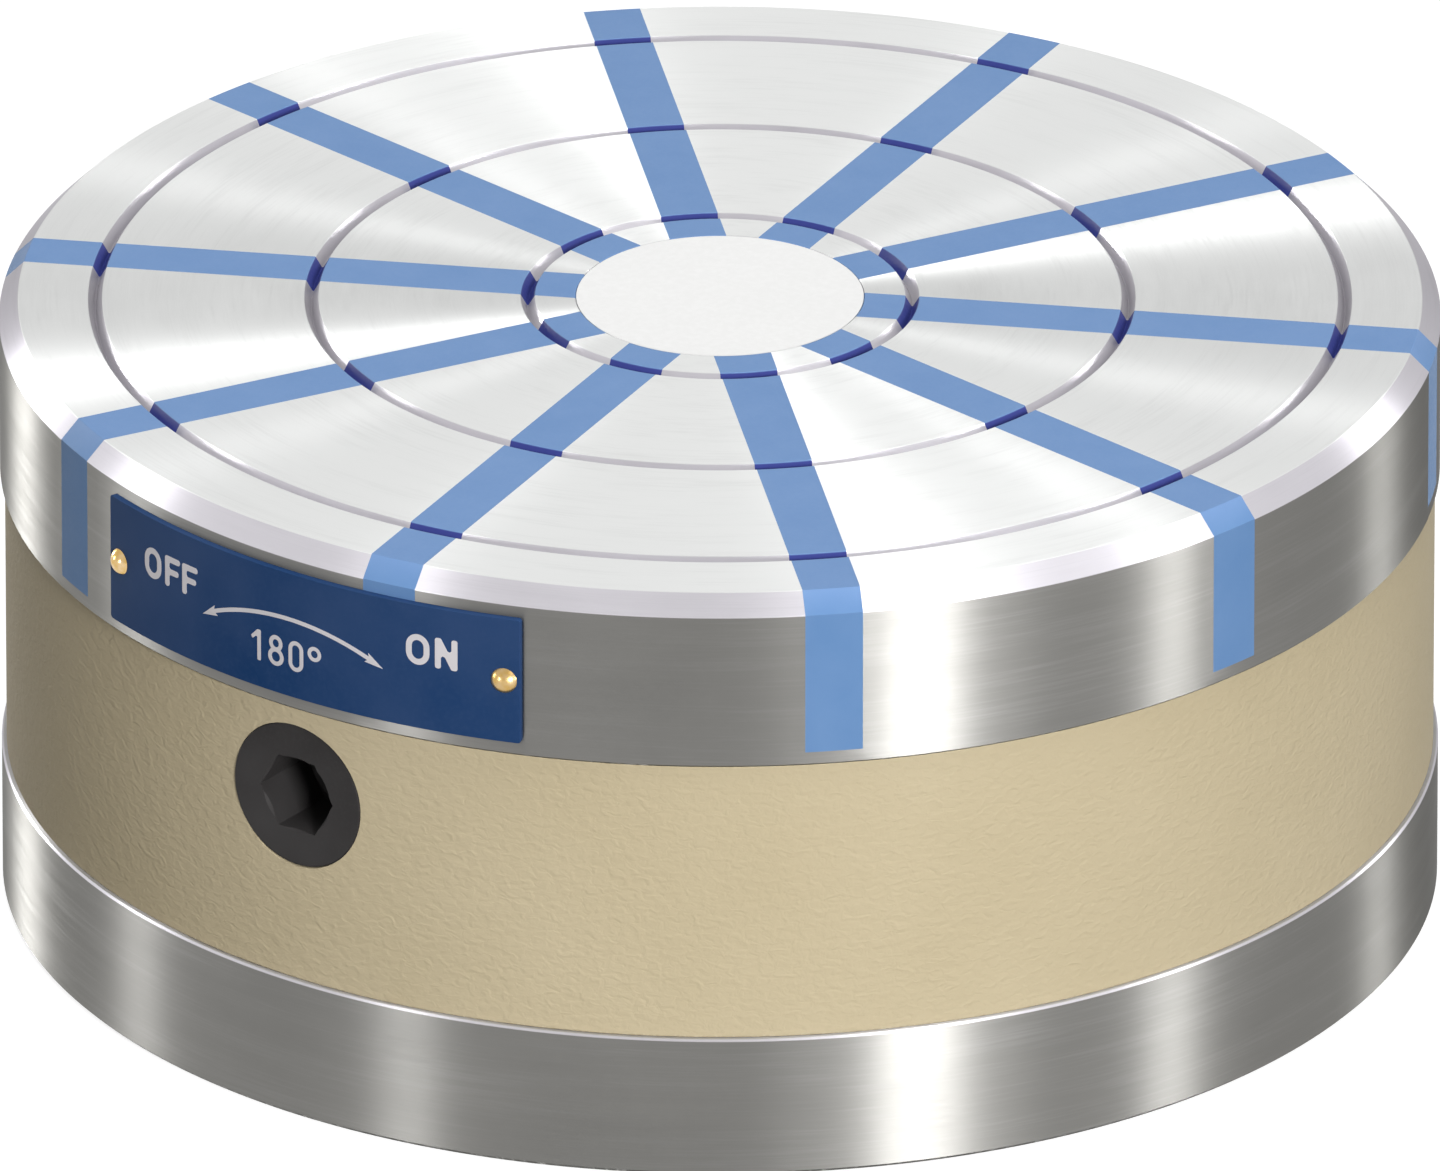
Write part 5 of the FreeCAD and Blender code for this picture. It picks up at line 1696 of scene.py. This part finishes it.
@dataclass(frozen=True)
class Lamp:
    """A soft rectangular lamp that points at the chuck. Its azimuth is from the camera's."""

    name: str
    azimuth: float
    elevation: float
    distance: float
    size: Point
    strength: float
    diffuse: bool = True
    glossy: bool = True

    def hang(self, aim: Vector, view: float) -> None:
        """Hang the lamp.

        Args:
            aim: Point that it faces, in metres.
            view: Azimuth of the camera.
        """
        data = bpy.data.lights.new(self.name, "AREA")
        data.shape = "RECTANGLE"
        data.size, data.size_y = self.size
        data.energy = self.strength
        lamp = bpy.data.objects.new(self.name, data)
        lamp.visible_diffuse = self.diffuse
        lamp.visible_glossy = self.glossy
        set_up(lamp, aim, view + self.azimuth, self.elevation, self.distance)


LAMPS = (
    Lamp("key_lamp", 18, 20, 1.7, (0.4, 0.4), 21.5, glossy=False),
    Lamp("sky_lamp", 0, 86, 1.8, (1.2, 1.2), 19.0, glossy=False),
    Lamp("right_softbox", 66, 48, 1.9, (1.5, 0.9), 3.5, diffuse=False),
    Lamp("front_glow", 28, 8, 1.6, (1.1, 0.4), 6.5, diffuse=False),
    Lamp("front_strip", 29.8, 6, 1.6, (0.34, 0.4), 20.0, diffuse=False),
    *(
        Lamp(f"{side}_strip", azimuth, 6, 1.6, (0.22, 0.4), strength, diffuse=False)
        for side, azimuth, strength in (
            ("right", 71.8, 8.0),
            ("far_right", 120.3, 5.0),
            ("left", -48, 4.8),
            ("mid_left", -98.9, 4.8),
            ("far_left", -133, 15.0),
        )
    ),
)


@dataclass
class Studio:
    """The floor, the light and the camera."""

    camera_azimuth: float = 36.0
    camera_elevation: float = 25.0
    lens: float = 1200.0
    sensor: float = 36.0
    aim_height: float = 0.0322
    frame_width: float = 0.1502
    ambient: float = 0.10
    floor_reach: float = 4000.0
    floor_drop: float = 0.3
    floor_glow: float = 0.87

    def __post_init__(self) -> None:
        """Set the point that the camera and the lamps face."""
        self.aim = Vector((0.0, 0.0, self.aim_height))

    def floor(self) -> None:
        """Lay a plain pale floor that keeps the chuck's shadow."""
        skin = Skin()
        ends = ((-1, -1), (1, -1), (1, 1), (-1, 1))
        reach = self.floor_reach
        skin.fill(skin.loop([(x * reach, y * reach, -self.floor_drop) for x, y in ends]))
        made = skin.piece("studio_floor")
        shader = Shader("studio_floor_white")
        tone = shader.span(shader.noise(shader.place, 3.0, 2.0, 0.5), 0.3, 0.7)
        pale = shader.blend(tone, (0.33,) * 3, (0.35,) * 3)
        shader.set(Base_Color=pale, Roughness=0.9, Specular_IOR_Level=0.0)
        glow = shader.add("ShaderNodeEmission")
        shader.put(glow.inputs["Strength"], self.floor_glow)
        both = shader.add("ShaderNodeAddShader")
        pick = shader.add("ShaderNodeMixShader")
        for target, source in (
            (both.inputs[0], shader.surface.outputs[0]),
            (both.inputs[1], glow.outputs[0]),
            (pick.inputs[0], shader.seen_directly()),
            (pick.inputs[1], shader.surface.outputs[0]),
            (pick.inputs[2], both.outputs[0]),
            (shader.tree.nodes["Material Output"].inputs["Surface"], pick.outputs[0]),
        ):
            shader.put(target, source)
        made.data.materials.append(shader.material)

    def surroundings(self) -> None:
        """Make the surroundings white to the eye and plain soft light to the chuck."""
        world = bpy.data.worlds.new("studio")
        bpy.context.scene.world = world
        world.use_nodes = True
        graph = Graph(world.node_tree)
        ground = world.node_tree.nodes["Background"]
        level = graph.math("MULTIPLY_ADD", graph.seen_directly(), 1.0 - self.ambient, self.ambient)
        graph.put(ground.inputs["Color"], WHITE)
        graph.put(ground.inputs["Strength"], level)

    def camera(self) -> None:
        """Set up the camera far off, with a long lens."""
        data = bpy.data.cameras.new("camera")
        data.lens = self.lens
        data.sensor_width = self.sensor
        data.clip_end = 50.0
        made = bpy.data.objects.new("camera", data)
        distance = self.frame_width * self.lens / self.sensor
        set_up(made, self.aim, self.camera_azimuth, self.camera_elevation, distance)
        bpy.context.scene.camera = made

    def build(self) -> None:
        """Build the floor, the surroundings and the camera, and hang the lamps."""
        bpy.context.scene.view_settings.view_transform = "Standard"
        self.floor()
        self.surroundings()
        self.camera()
        for lamp in LAMPS:
            lamp.hang(self.aim, self.camera_azimuth)


def main() -> None:
    """Dress the chuck, light it and set the camera."""
    logging.basicConfig(level=logging.INFO, format="%(name)s: %(message)s")
    finishes = Finishes()
    LOG.info("carried over: %d nodes dressed", finishes.dress_carried_over())
    for part in (PolePlate, HousingRing, BasePlate, KeyShaft, Nameplate):
        part(finishes).build()
    Studio().build()


if __name__ == "__main__":
    main()
